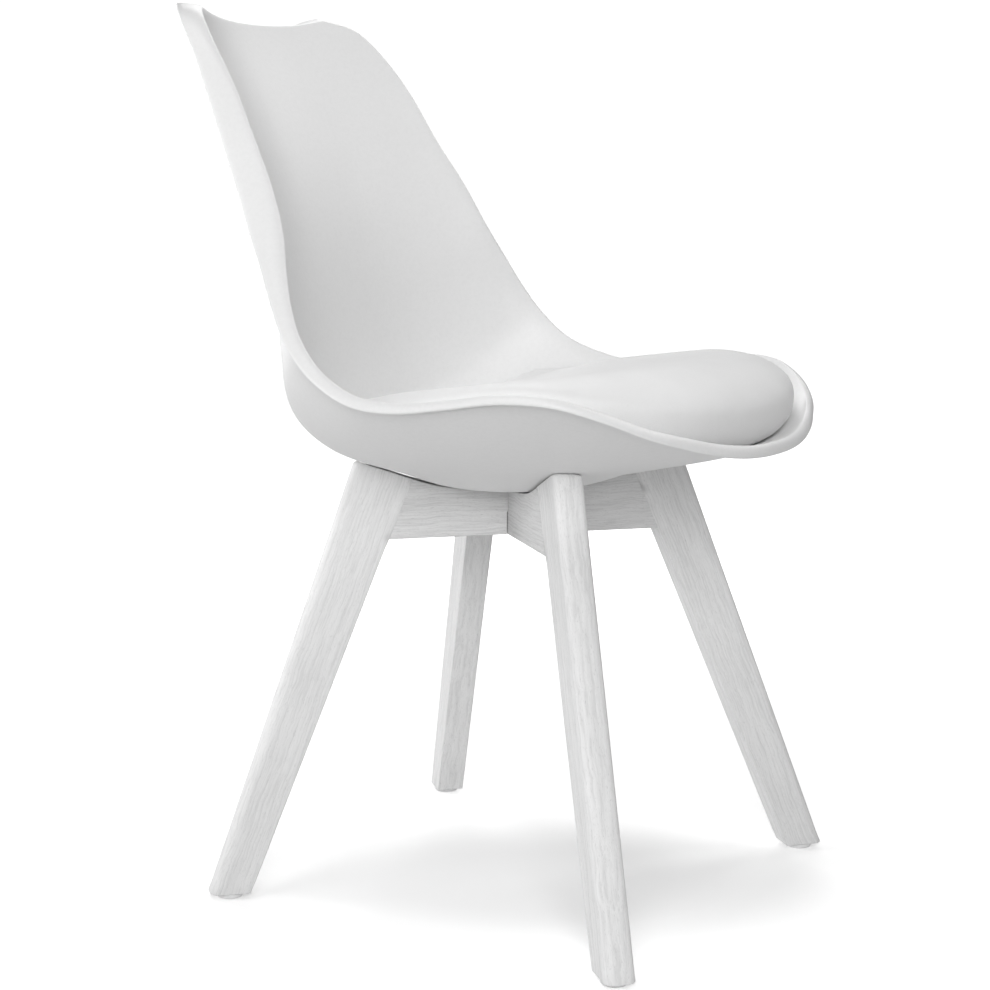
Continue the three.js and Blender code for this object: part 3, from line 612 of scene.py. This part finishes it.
def build_leg(name, angle, leg, saddle):
    """Board with a rounded outer edge; its top follows the underside of the shell."""
    half = BOARD / 2
    c, s = math.cos(angle), math.sin(angle)
    nose_steps, flat_steps = 18, 5
    face_half = half - LEG_BEVEL
    # right half of the section, inner edge first: (kind, parameter, side)
    marks = [("in", 0.0, 0.0), ("in", 0.0, 0.7 * face_half), ("in", 0.0, face_half)]
    for k in range(1, 5):
        a = math.pi / 2 * k / 4
        marks.append(
            ("bevel", LEG_BEVEL * (1 - math.cos(a)), face_half + LEG_BEVEL * math.sin(a))
        )
    marks += [("flat", k / flat_steps, half) for k in range(1, flat_steps)]
    for k in range(nose_steps + 1):
        a = math.pi / 2 * (1 - k / nose_steps)
        reach, out = (abs(v) ** (2 / NOSE_POWER) for v in (math.cos(a), math.sin(a)))
        marks.append(("nose", NOSE * (1 - reach), half * out))

    def joint_at(z):
        """0 below the beam and 1 beside it, where the leg's inner corners are square."""
        return smoothstep(z, BEAM_BOTTOM - 5, BEAM_BOTTOM - 1)

    def radius_at(mark, z):
        kind, value, _ = mark
        inner, outer, joint = in_edge(leg, z), out_edge(leg, z), joint_at(z)
        if kind == "in":
            return inner - LEG_TUCK * joint
        if kind == "bevel":
            return inner + value * (1 - joint) - LEG_TUCK * joint
        if kind == "flat":
            return inner + LEG_BEVEL + (outer - NOSE - inner - LEG_BEVEL) * value
        return outer - value

    def side_at(mark, z):
        kind, _, side = mark
        joint = joint_at(z)
        if kind == "in" and side == face_half:
            return side + LEG_BEVEL * joint
        if kind == "bevel":
            return side + (half - side) * joint
        return side

    def top_of(mark, sign):
        """Height at which a line of the section meets the underside of the shell."""
        z = LEG_TOP
        for _ in range(12):
            r, side = radius_at(mark, z), sign * side_at(mark, z)
            z = min(LEG_TOP, float(saddle(r * c - side * s, r * s + side * c)))
        return z

    columns = [(m, 1) for m in marks] + [(m, -1) for m in marks[-2:0:-1]]
    tops = [top_of(m, sign) for m, sign in columns]
    foot_middle, top_middle = (
        (in_edge(leg, z) + out_edge(leg, z)) / 2 - MIDDLE_SHIFT for z in (LEG_BOTTOM, LEG_TOP)
    )

    def pulled(r, side, middle, amount):
        """The section point moved towards the middle of the section by an amount."""
        towards = np.array([middle - r, -side])
        gap = np.linalg.norm(towards)
        towards = towards / max(gap, 1e-6) * min(amount, gap)
        return r + towards[0], side + towards[1]

    # rows of the section from the rounded foot up to the rounded top
    rows = []
    for k in range(5):
        a = math.pi / 2 * k / 4
        inward, z = FOOT_ROUND * (1 - math.sin(a)), LEG_BOTTOM + FOOT_ROUND * (1 - math.cos(a))
        row = []
        for m, sign in columns:
            r, side = radius_at(m, LEG_BOTTOM), sign * side_at(m, LEG_BOTTOM)
            row.append((*pulled(r, side, foot_middle, inward), z))
        rows.append(row)
    start = LEG_BOTTOM + FOOT_ROUND
    for k in range(1, 42):
        row = []
        for (m, sign), top in zip(columns, tops):
            stop = top - TOP_ROUND[m[0]] - TOP_STRIP
            z = start + (stop - start) * (k / 42)
            row.append((radius_at(m, z), sign * side_at(m, z), z))
        rows.append(row)
    for k in range(7):
        a = math.pi / 2 * k / 6
        row = []
        for (m, sign), top in zip(columns, tops):
            turn = TOP_ROUND[m[0]]
            if m[0] == "nose":
                turn = TOP_ROUND["flat"] + (turn - TOP_ROUND["flat"]) * (1 - m[1] / NOSE)
            z = top - turn * (1 - math.sin(a))
            r, side = radius_at(m, z), sign * side_at(m, z)
            row.append((*pulled(r, side, top_middle, turn * (1 - math.cos(a))), z))
        rows.append(row)
    count = len(columns)
    points = [
        (r * c - side * s, r * s + side * c, z) for row in rows for r, side, z in row
    ]
    faces = [(a, d, c, b) for a, b, c, d in ring_quads(len(rows), count)]
    # the two ends are closed by strips between the section's halves
    for base in (0, (len(rows) - 1) * count):
        for k in range(len(marks) - 1):
            right = (base + k, base + k + 1)
            left = (base + (-k) % count, base + (-(k + 1)) % count)
            face = [right[0], right[1], left[1], left[0]]
            face = [p for i, p in enumerate(face) if p not in face[:i]]
            faces.append(face)
    return make_piece(name, points, faces)


def build_beam(name, angle, saddle):
    """Beam along a diagonal: positive r is the front leg's end. Long edges are eased."""
    half, ease = BOARD / 2, BEAM_EASE
    c, s = math.cos(angle), math.sin(angle)
    loop = []
    for k in range(4):
        a = math.pi / 2 * k / 3
        loop.append(("low", half - ease + ease * math.sin(a), ease * (1 - math.cos(a))))
    loop += [("side", half, k / 5) for k in range(1, 5)]
    for k in range(4):
        a = math.pi / 2 * k / 3
        loop.append(("high", half - ease + ease * math.cos(a), ease * (1 - math.sin(a))))
    loop += [("high", half * v, 0.0) for v in (0.6, 0.3)]
    mirrored = [(kind, -side, v) for kind, side, v in loop[::-1]]
    full = loop + [("high", 0.0, 0.0)] + mirrored + [("low", -half * 0.5, 0.0)]
    full += [("low", 0.0, 0.0), ("low", half * 0.5, 0.0)]
    steps = 96
    points = []

    def reach(t, z):
        """Distance along the beam, from the rear leg at t = 0 to the front leg at t = 1."""
        front, rear = in_edge(FRONT_LEG, z), in_edge(REAR_LEG, z)
        return -rear + (front + rear) * t

    for i in range(steps + 1):
        t = i / steps
        for kind, side, value in full:
            z = LEG_TOP
            for _ in range(6):
                r = reach(t, z)
                z = min(LEG_TOP, float(saddle(r * c - side * s, r * s + side * c)))
            if kind == "low":
                z = BEAM_BOTTOM + value
            elif kind == "side":
                z = BEAM_BOTTOM + ease + (z - BEAM_BOTTOM - 2 * ease) * value
            else:
                z -= value
            r = reach(t, z)
            points.append((r * c - side * s, r * s + side * c, z))
    count = len(full)
    faces = ring_quads(steps + 1, count)
    faces.append(tuple(range(count)))
    last = steps * count
    faces.append(tuple(range(last + count - 1, last - 1, -1)))
    return make_piece(name, points, faces)


def box_tool(name, low, high, size, angle):
    """A box over the crossing, used only to cut with, turned about the upright axis."""
    edit = bmesh.new()
    bmesh.ops.create_cube(edit, size=1.0)
    bmesh.ops.scale(edit, verts=edit.verts, vec=[v * MM for v in (*size, high - low)])
    turn = Matrix.Rotation(angle, 4, "Z")
    place = Matrix.Translation((0, -DEPTH_CENTRE_Y * MM, (low + high) / 2 * MM))
    bmesh.ops.transform(edit, matrix=place @ turn, verts=edit.verts)
    return from_edit(name, edit)


def cut_with(obj, tools):
    """Takes the tools' volumes out of a piece and removes the tools."""
    for tool in tools:
        cut = obj.modifiers.new("cut", "BOOLEAN")
        cut.operation = "DIFFERENCE"
        cut.solver = "EXACT"
        cut.object = tool
    settle_modifiers(obj)
    for tool in tools:
        bpy.data.objects.remove(tool)


def post_tool(name, radius, low, high, x, y):
    """A round post, used only to cut with."""
    return lathe(name, [(0, low), (radius, low), (radius, high), (0, high)], x, y, 48)


def build_glide(name, x, y):
    """Turned glide: a recess below for the nail's head and a hole for its shank."""
    outline = [
        (NAIL_HEAD_R, 0.0), (NAIL_HEAD_R, NAIL_HEAD_DEPTH),
        (NAIL_R, NAIL_HEAD_DEPTH), (NAIL_R, GLIDE_H), (GLIDE_R - 0.8, GLIDE_H),
    ]
    upper, lower = (GLIDE_R, GLIDE_H), (GLIDE_R, 0)
    outline += rounded((0, GLIDE_H), upper, lower, GLIDE_TOP_ROUND)
    outline += rounded(upper, lower, (0, 0), GLIDE_FOOT_ROUND)
    outline.append(outline[0])
    return lathe(name, outline, x, y)


# ------------------------------------------------------------------ materials

def new_material(name):
    material = bpy.data.materials.new(name)
    material.use_nodes = True
    nodes = material.node_tree.nodes
    return material, nodes, material.node_tree.links, nodes["Principled BSDF"]


def add(nodes, kind, **values):
    """A new node; a value named in_X is the default of its input X."""
    node = nodes.new(kind)
    for key, value in values.items():
        if key.startswith("in_"):
            node.inputs[key[3:].replace("_", " ")].default_value = value
        else:
            setattr(node, key, value)
    return node


def ramp(nodes, stops):
    """A colour ramp from (place, grey or colour) stops."""
    node = nodes.new("ShaderNodeValToRGB")
    while len(node.color_ramp.elements) < len(stops):
        node.color_ramp.elements.new(0.5)
    for element, (place, value) in zip(node.color_ramp.elements, stops):
        element.position = place
        element.color = (value, value, value, 1) if isinstance(value, float) else (*value, 1)
    return node


def noise(nodes, links, where, scale, detail, roughness=0.5):
    node = add(
        nodes, "ShaderNodeTexNoise", in_Scale=scale, in_Detail=detail, in_Roughness=roughness,
    )
    links.new(where, node.inputs["Vector"])
    return node


def toned(nodes, links, source, stops):
    """The colours of a ramp, read at a texture's value."""
    node = ramp(nodes, stops)
    links.new(source, node.inputs["Fac"])
    return node.outputs["Color"]


def multiplied(nodes, links, first, second):
    """Product of two colours; the first is a socket or a plain colour."""
    mix = add(nodes, "ShaderNodeMix", data_type="RGBA", blend_type="MULTIPLY")
    mix.inputs["Factor"].default_value = 1.0
    if isinstance(first, tuple):
        mix.inputs[6].default_value = first
    else:
        links.new(first, mix.inputs[6])
    links.new(second, mix.inputs[7])
    return mix.outputs[2]


def blended(nodes, links, first, second, share):
    """Two texture values mixed, with a share of the second."""
    mix = add(nodes, "ShaderNodeMix", data_type="FLOAT")
    mix.inputs["Factor"].default_value = share
    links.new(first, mix.inputs[2])
    links.new(second, mix.inputs[3])
    return mix.outputs[0]


def roughen(nodes, links, bsdf, source, low, high):
    node = add(nodes, "ShaderNodeMapRange", in_To_Min=low, in_To_Max=high)
    links.new(source, node.inputs["Value"])
    links.new(node.outputs["Result"], bsdf.inputs["Roughness"])


def emboss(nodes, links, bsdf, source, strength, distance):
    node = add(nodes, "ShaderNodeBump", in_Strength=strength, in_Distance=distance)
    links.new(source, node.inputs["Height"])
    links.new(node.outputs["Normal"], bsdf.inputs["Normal"])


def plastic(name, shade, roughness, grain=1.0):
    """Moulded plastic: fine spark texture, faint clouding and roughness variation."""
    material, nodes, links, bsdf = new_material(name)
    where = add(nodes, "ShaderNodeTexCoord").outputs["Object"]
    cloud = noise(nodes, links, where, 9.0, 3.0).outputs["Fac"]
    spark = noise(nodes, links, where, 900.0, 2.0, 0.6).outputs["Fac"]
    fine = noise(nodes, links, where, 260.0, 3.0, 0.55).outputs["Fac"]
    tone = toned(nodes, links, cloud, [(0.3, shade * 0.985), (0.7, shade)])
    speck = toned(nodes, links, fine, [(0.3, 0.975), (0.62, 1.0)])
    links.new(multiplied(nodes, links, tone, speck), bsdf.inputs["Base Color"])
    roughen(nodes, links, bsdf, fine, roughness - 0.04, roughness + 0.05)
    emboss(nodes, links, bsdf, spark, 0.16 * grain, 0.0002)
    bsdf.inputs["Specular IOR Level"].default_value = 0.4
    return material


def leatherette(name, shade):
    """Coated fabric: pebble grain from two cell sizes, painted shade in the grooves between the
    pebbles, soft sheen and slight mottling.
    """
    material, nodes, links, bsdf = new_material(name)
    where = add(nodes, "ShaderNodeTexCoord").outputs["Object"]
    warp = noise(nodes, links, where, 160.0, 2.0)
    mottle = noise(nodes, links, where, 24.0, 4.0, 0.55).outputs["Fac"]
    bend = add(nodes, "ShaderNodeVectorMath", operation="MULTIPLY_ADD")
    bend.inputs[1].default_value = (0.003, 0.003, 0.003)
    links.new(warp.outputs["Color"], bend.inputs[0])
    links.new(where, bend.inputs[2])
    cells = []
    for scale, rim in ((620.0, 0.16), (1250.0, 0.2)):
        cell = add(
            nodes, "ShaderNodeTexVoronoi", feature="DISTANCE_TO_EDGE", in_Scale=scale,
        )
        links.new(bend.outputs["Vector"], cell.inputs["Vector"])
        cells.append(toned(nodes, links, cell.outputs["Distance"], [(0.0, 0.0), (rim, 1.0)]))
    pebble = blended(nodes, links, *cells, 0.35)
    emboss(nodes, links, bsdf, pebble, 0.22, 0.0002)
    tone = toned(nodes, links, mottle, [(0.3, shade * 0.975), (0.7, shade)])
    # painted shade: the colour is darkened in the grooves between the pebbles, where shade falls
    painted_groove_shade = toned(nodes, links, pebble, [(0.0, 0.95), (0.5, 1.0)])
    links.new(multiplied(nodes, links, tone, painted_groove_shade), bsdf.inputs["Base Color"])
    roughen(nodes, links, bsdf, mottle, 0.5, 0.6)
    bsdf.inputs["Sheen Weight"].default_value = 0.08
    bsdf.inputs["Sheen Roughness"].default_value = 0.4
    bsdf.inputs["Specular IOR Level"].default_value = 0.35
    return material


def board_vector(nodes, links, origin, along, across):
    """Board coordinates in metres: along the grain, across it and through the board."""
    along, across = Vector(along).normalized(), Vector(across).normalized()
    where = add(nodes, "ShaderNodeTexCoord")
    shift = add(nodes, "ShaderNodeVectorMath", operation="SUBTRACT")
    shift.inputs[1].default_value = origin
    links.new(where.outputs["Object"], shift.inputs[0])
    joined = add(nodes, "ShaderNodeCombineXYZ")
    for axis, name in ((along, "X"), (across, "Y"), (along.cross(across), "Z")):
        dot = add(nodes, "ShaderNodeVectorMath", operation="DOT_PRODUCT")
        dot.inputs[1].default_value = axis
        links.new(shift.outputs["Vector"], dot.inputs[0])
        links.new(dot.outputs["Value"], joined.inputs[name])
    return joined.outputs["Vector"]


def stretched(nodes, links, vector, scales, detail, roughness=0.5):
    """Noise with its own scale along each axis of the board."""
    scale = add(nodes, "ShaderNodeVectorMath", operation="MULTIPLY")
    scale.inputs[1].default_value = scales
    links.new(vector, scale.inputs[0])
    return noise(nodes, links, scale.outputs["Vector"], 1.0, detail, roughness)


def beech(name, origin, along, across, shade, contrast=1.0, warm=(1, 1, 1)):
    """Whitewashed beech: wavy growth lines, fine fibres and short flecks along the board."""
    material, nodes, links, bsdf = new_material(name)
    straight = board_vector(nodes, links, origin, along, across)
    drift = stretched(nodes, links, straight, (38, 22, 22), 1.5)
    wave = add(nodes, "ShaderNodeVectorMath", operation="MULTIPLY_ADD")
    wave.inputs[1].default_value = (0.0, 0.006, 0.006)
    links.new(drift.outputs["Color"], wave.inputs[0])
    links.new(straight, wave.inputs[2])
    lines, fibre, fleck, broad = (
        stretched(nodes, links, wave.outputs["Vector"], *values).outputs["Fac"]
        for values in (
            ((16, 560, 300), 2.0),
            ((70, 1900, 1900), 2.0, 0.6),
            ((260, 2000, 1700), 1.0),
            ((4, 45, 45), 2.0),
        )
    )
    colour = tuple(shade * w for w in warm) + (1,)
    for source, stops in (
        (lines, [(0.34, 1 - 0.085 * contrast), (0.5, 1 - 0.025 * contrast), (0.62, 1.0)]),
        (fibre, [(0.32, 1 - 0.05 * contrast), (0.6, 1.0)]),
        (fleck, [(0.28, 1 - 0.12 * contrast), (0.36, 1.0)]),
        (broad, [(0.3, 1 - 0.02 * contrast), (0.7, 1.0)]),
    ):
        colour = multiplied(nodes, links, colour, toned(nodes, links, source, stops))
    links.new(colour, bsdf.inputs["Base Color"])
    emboss(nodes, links, bsdf, blended(nodes, links, lines, fibre, 0.4), 0.4, 0.0006)
    roughen(nodes, links, bsdf, fibre, 0.52, 0.66)
    bsdf.inputs["Specular IOR Level"].default_value = 0.3
    return material


def metal(name, colour, roughness):
    """Turned or plated metal with fine scratches in its roughness."""
    material, nodes, links, bsdf = new_material(name)
    where = add(nodes, "ShaderNodeTexCoord").outputs["Object"]
    scratch = noise(nodes, links, where, 700.0, 3.0).outputs["Fac"]
    cloud = noise(nodes, links, where, 120.0, 2.0).outputs["Fac"]
    dull = tuple(0.88 * v for v in colour)
    links.new(toned(nodes, links, cloud, [(0.3, dull), (0.7, colour)]), bsdf.inputs["Base Color"])
    roughen(nodes, links, bsdf, scratch, roughness - 0.08, roughness + 0.1)
    bsdf.inputs["Metallic"].default_value = 1.0
    return material


def dress(obj, material):
    """Gives a piece its only material and, for a new piece, its material slot."""
    obj.data.materials.clear()
    obj.data.materials.append(material)


# ------------------------------------------------------------------ build

SHELL_MATCH = 3.0
BEAM_SHARP, LEG_SHARP, GLIDE_SHARP = 32, 38, 50

shell = build_shell()
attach(shell, "root")
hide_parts("seat_shell")

inside_samples = inside_point(
    np.linspace(0, 12, 241)[:, None], np.linspace(-1, 1, 161)[None, :]
)
seat = height_field(inside_samples, 250)
saddle = height_field(under_surface(SADDLE_GAP, SADDLE_BOSS_OUTER), 200)

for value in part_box("seat_shell")[1] - Vector(shell.bound_box[6]):
    if abs(value) > SHELL_MATCH * MM:
        raise SystemExit("the fine shell doesn't match the CAD shell's box")

pad = build_pad(seat)
inflate(pad)
keep_clear(pad, CLEAR_BEFORE * MM)
relax_surface(pad, 3)
subdivide = pad.modifiers.new("subdivide", "SUBSURF")
subdivide.levels = subdivide.render_levels = 1
settle_modifiers(pad)
keep_clear(pad, CLEAR_AFTER * MM)
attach(pad, "root")
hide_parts("seat_cushion")

shell_white = plastic("moulded_white_plastic", 0.82, 0.42)
pad_white = leatherette("white_leatherette", 0.845)
dress(shell, shell_white)
dress(pad, pad_white)

zinc = metal("zinc_plated_steel", (0.62, 0.63, 0.65), 0.34)
brass = metal("insert_brass", (0.70, 0.53, 0.24), 0.38)
glide_white = plastic("glide_plastic", 0.86, 0.3, 0.5)

# compass angle of the front end, and whether the notch for the other beam is in the top
BEAMS = {
    "cross_beam_lower": (-0.75 * math.pi, True),
    "cross_beam_upper": (-0.25 * math.pi, False),
}
for key, (angle, notch_upper) in BEAMS.items():
    beam = build_beam(key.replace("cross_beam", "beam"), angle, saddle)
    under, over = BEAM_BOTTOM - CUT_PAST, LEG_TOP + CUT_PAST
    loose = LAP_TIGHT if notch_upper else LAP_LOOSE
    low = BEAM_LAP - LAP_REST if notch_upper else under
    high = over if notch_upper else BEAM_LAP + LAP_REST
    tools = [box_tool("notch_tool", low, high, (BOARD + 2 * loose, BOARD * 2), angle)]
    for corner_angle, _, _ in CORNERS.values():
        x, y = BOLT_AT * math.cos(corner_angle), BOLT_AT * math.sin(corner_angle)
        on_this_beam = abs(x * math.sin(angle) - y * math.cos(angle)) < 1
        if on_this_beam:
            tools.append(post_tool("bolt_tool", BOLT_HOLE_R, under, over, x, y))
            tools.append(post_tool(
                "head_tool", BOLT_HEAD_R, under, BEAM_BOTTOM + BOLT_HEAD_DEPTH, x, y,
            ))
    cut_with(beam, tools)
    sharp_by_angle(beam, BEAM_SHARP)
    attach(beam, "root")
    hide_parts(key)
    along = (math.cos(angle), math.sin(angle), 0)
    start = (0.31 + angle, 0.17 * angle, 0.05 * angle)
    # the beams' beech is darker than the legs' (0.80 against 0.87): painted shade for the shade
    # under the seat; their stronger grain contrast is the wood's own
    dress(beam, beech("beech_" + key, start, along, (0, 0, 1), 0.80, 1.8))

for key, (angle, leg, glide_at) in CORNERS.items():
    board = build_leg("leg_board_" + key, angle, leg, saddle)
    sharp_by_angle(board, LEG_SHARP)
    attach(board, "root")
    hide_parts("leg_" + key)
    lean = (leg["foot_in"] + leg["foot_out"] - leg["beam_in"] - leg["top_out"]) / 2 / 360
    out = Vector((math.cos(angle), math.sin(angle), 0))
    along = Vector((-out.x * lean, -out.y * lean, 1)).normalized()
    # each board starts at its own place in the grain
    start = (0.13 * angle, 0.29 * angle, 0.4 * angle)
    outward = along.cross(out.cross(along))
    dress(board, beech("beech_leg_" + key, start, along, outward, 0.87, 1.4))
    x, y = glide_at * math.cos(angle), glide_at * math.sin(angle)
    glide = build_glide("glide_disc_" + key, x, y)
    sharp_by_angle(glide, GLIDE_SHARP)
    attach(glide, "root")
    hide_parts("glide_" + key)
    dress(glide, glide_white)

dowel_look = beech("dowel_beech", (0, 0, 0), (1, 0, 0), (0, 0, 1), 0.6, 1.0, (1, 0.86, 0.66))
ply_look = beech("pad_board_ply", (0, 0, 0), (0, 1, 0), (0, 0, 1), 0.55, 1.0, (1, 0.86, 0.64))
# looks of the CAD nodes by the start of their names; all the others are wood
CAD_LOOKS = (
    (("cushion_board",), ply_look),
    (("seat_bolt", "bolt_washer", "cushion_screw", "glide_nail"), zinc),
    (("threaded_insert",), brass),
    (("seat_shell",), shell_white),
    (("seat_cushion",), pad_white),
    (("glide_",), glide_white),
)
for name, node in NODES.items():
    looks = [look for starts, look in CAD_LOOKS if name.startswith(starts)]
    dress(node, looks[0] if looks else dowel_look)


# ------------------------------------------------------------------ stage, light, camera

# the floor's own colour as the eye and as the chair see it, and its glow towards the chair
FLOOR_LOOK, FLOOR_BOUNCE, BOUNCE_GLOW = 0.9, 0.2, 0.43
# oval of painted shadow under the chair, where the floor's glow is lowered: its centre and half
# lengths in metres
SHADOW_CENTRE = (-0.02, -0.05)
SHADOW_LENGTH, SHADOW_DEPTH = 0.35, 0.225
# glow of the floor in the oval, round it and far away, and where each gives way to the next:
# in half lengths of the oval, and in metres from the crossing
SHADOW_GLOW, NEAR_GLOW, FAR_GLOW = 0.03, 0.38, 1.15
SHADOW_EDGE, FAR_EDGE = (0.35, 1.2), (0.6, 1.8)
VIEW_COMPASS = math.radians(-150.5)
# soft lights: name, compass and height in degrees, power in watts
LAMPS = (
    ("front", -150.5, 22, 54.0),
    ("side_low", 119.5, 8, 30.6),
    ("rear_low", 74.5, 8, 33.6),
    ("far_side", -60.5, 40, 11.4),
    ("rear", 29.5, 40, 23.4),
    ("rear_side", -15.5, 40, 19.8),
    ("top", 164.5, 65, 23.4),
)
LAMP_AIM = Vector((0, 0, 0.45))
LAMP_AWAY, LAMP_WIDTH = 3.0, 1.6
WORLD_SEEN = 1.05


def floor_glow(nodes, links):
    """Emission of the floor as the eye sees it: least in an oval under the chair, a painted
    shadow.
    """
    where = add(nodes, "ShaderNodeTexCoord")
    oval = add(nodes, "ShaderNodeMapping", vector_type="TEXTURE")
    oval.inputs["Location"].default_value = (*SHADOW_CENTRE, 0)
    oval.inputs["Rotation"].default_value = (0, 0, VIEW_COMPASS)
    oval.inputs["Scale"].default_value = (SHADOW_DEPTH, SHADOW_LENGTH, 1)
    links.new(where.outputs["Object"], oval.inputs["Vector"])
    total = None
    for source, (near, far), low, high in (
        (oval.outputs["Vector"], SHADOW_EDGE, SHADOW_GLOW, NEAR_GLOW),
        (where.outputs["Object"], FAR_EDGE, 0.0, FAR_GLOW - NEAR_GLOW),
    ):
        length = add(nodes, "ShaderNodeVectorMath", operation="LENGTH")
        links.new(source, length.inputs[0])
        glow = add(
            nodes, "ShaderNodeMapRange", interpolation_type="SMOOTHSTEP",
            in_From_Min=near, in_From_Max=far, in_To_Min=low, in_To_Max=high,
        )
        links.new(length.outputs["Value"], glow.inputs["Value"])
        if total is None:
            total = glow.outputs["Result"]
        else:
            both = add(nodes, "ShaderNodeMath", operation="ADD")
            links.new(total, both.inputs[0])
            links.new(glow.outputs["Result"], both.inputs[1])
            total = both.outputs["Value"]
    return total


def build_floor():
    """A wide pale floor that looks white."""
    edit = bmesh.new()
    bmesh.ops.create_grid(edit, x_segments=8, y_segments=8, size=14.0)
    floor = from_edit("floor", edit)
    material, nodes, links, bsdf = new_material("pale_floor")
    bsdf.inputs["Roughness"].default_value = 0.9
    bsdf.inputs["Specular IOR Level"].default_value = 0.0
    bsdf.inputs["Emission Color"].default_value = (1, 1, 1, 1)
    # the floor looks white but throws only a little light back up at the chair
    path = add(nodes, "ShaderNodeLightPath")
    tone = add(nodes, "ShaderNodeMix", data_type="RGBA")
    tone.inputs[6].default_value = (FLOOR_BOUNCE, FLOOR_BOUNCE, FLOOR_BOUNCE, 1)
    tone.inputs[7].default_value = (FLOOR_LOOK, FLOOR_LOOK, FLOOR_LOOK, 1)
    links.new(path.outputs["Is Camera Ray"], tone.inputs["Factor"])
    links.new(tone.outputs[2], bsdf.inputs["Base Color"])
    glow = add(nodes, "ShaderNodeMix", data_type="FLOAT")
    glow.inputs[2].default_value = BOUNCE_GLOW
    links.new(path.outputs["Is Camera Ray"], glow.inputs["Factor"])
    links.new(floor_glow(nodes, links), glow.inputs[3])
    links.new(glow.outputs[0], bsdf.inputs["Emission Strength"])
    floor.data.materials.append(material)


def softbox(name, compass, height, power):
    """Round soft light aimed at the seat from a compass and height angle in degrees."""
    a, e = math.radians(compass), math.radians(height)
    away = Vector((math.cos(a) * math.cos(e), math.sin(a) * math.cos(e), math.sin(e)))
    data = bpy.data.lights.new(name, "AREA")
    data.shape = "DISK"
    data.size = LAMP_WIDTH
    data.energy = power
    lamp = in_scene(name, data)
    lamp.location = LAMP_AIM + LAMP_AWAY * away
    lamp.rotation_euler = (-away).to_track_quat("-Z", "Y").to_euler()


build_floor()
for lamp in LAMPS:
    softbox(*lamp)

# the world lights nothing, and the eye sees it white
scene = bpy.context.scene
world = bpy.data.worlds.new("studio")
scene.world = world
world.use_nodes = True
tree = world.node_tree
tree.nodes.clear()
dark, seen = (
    add(tree.nodes, "ShaderNodeBackground", in_Color=(1, 1, 1, 1), in_Strength=strength)
    for strength in (0.0, WORLD_SEEN)
)
path = add(tree.nodes, "ShaderNodeLightPath")
mix = add(tree.nodes, "ShaderNodeMixShader")
output = add(tree.nodes, "ShaderNodeOutputWorld")
tree.links.new(path.outputs["Is Camera Ray"], mix.inputs["Fac"])
tree.links.new(dark.outputs["Background"], mix.inputs[1])
tree.links.new(seen.outputs["Background"], mix.inputs[2])
tree.links.new(mix.outputs["Shader"], output.inputs["Surface"])
scene.view_settings.view_transform = "Standard"

CAMERA_PLACE = Vector((-1.70652, -0.96882, 0.66745))
CAMERA_FORWARD = Vector((0.86035, 0.48720, -0.14978)).normalized()
CAMERA_ROLL = math.radians(0.188)
CAMERA_LENS = 75.087
right = CAMERA_FORWARD.cross(Vector((0, 0, 1))).normalized()
up = right.cross(CAMERA_FORWARD)
level_right = math.cos(CAMERA_ROLL) * right + math.sin(CAMERA_ROLL) * up
level_up = -math.sin(CAMERA_ROLL) * right + math.cos(CAMERA_ROLL) * up
lens = bpy.data.cameras.new("camera")
lens.lens = CAMERA_LENS
lens.sensor_width = 36
lens.clip_start, lens.clip_end = 0.05, 60
camera = in_scene("camera", lens)
turn = Matrix((level_right, level_up, -CAMERA_FORWARD)).transposed().to_4x4()
camera.matrix_world = Matrix.Translation(CAMERA_PLACE) @ turn
scene.camera = camera
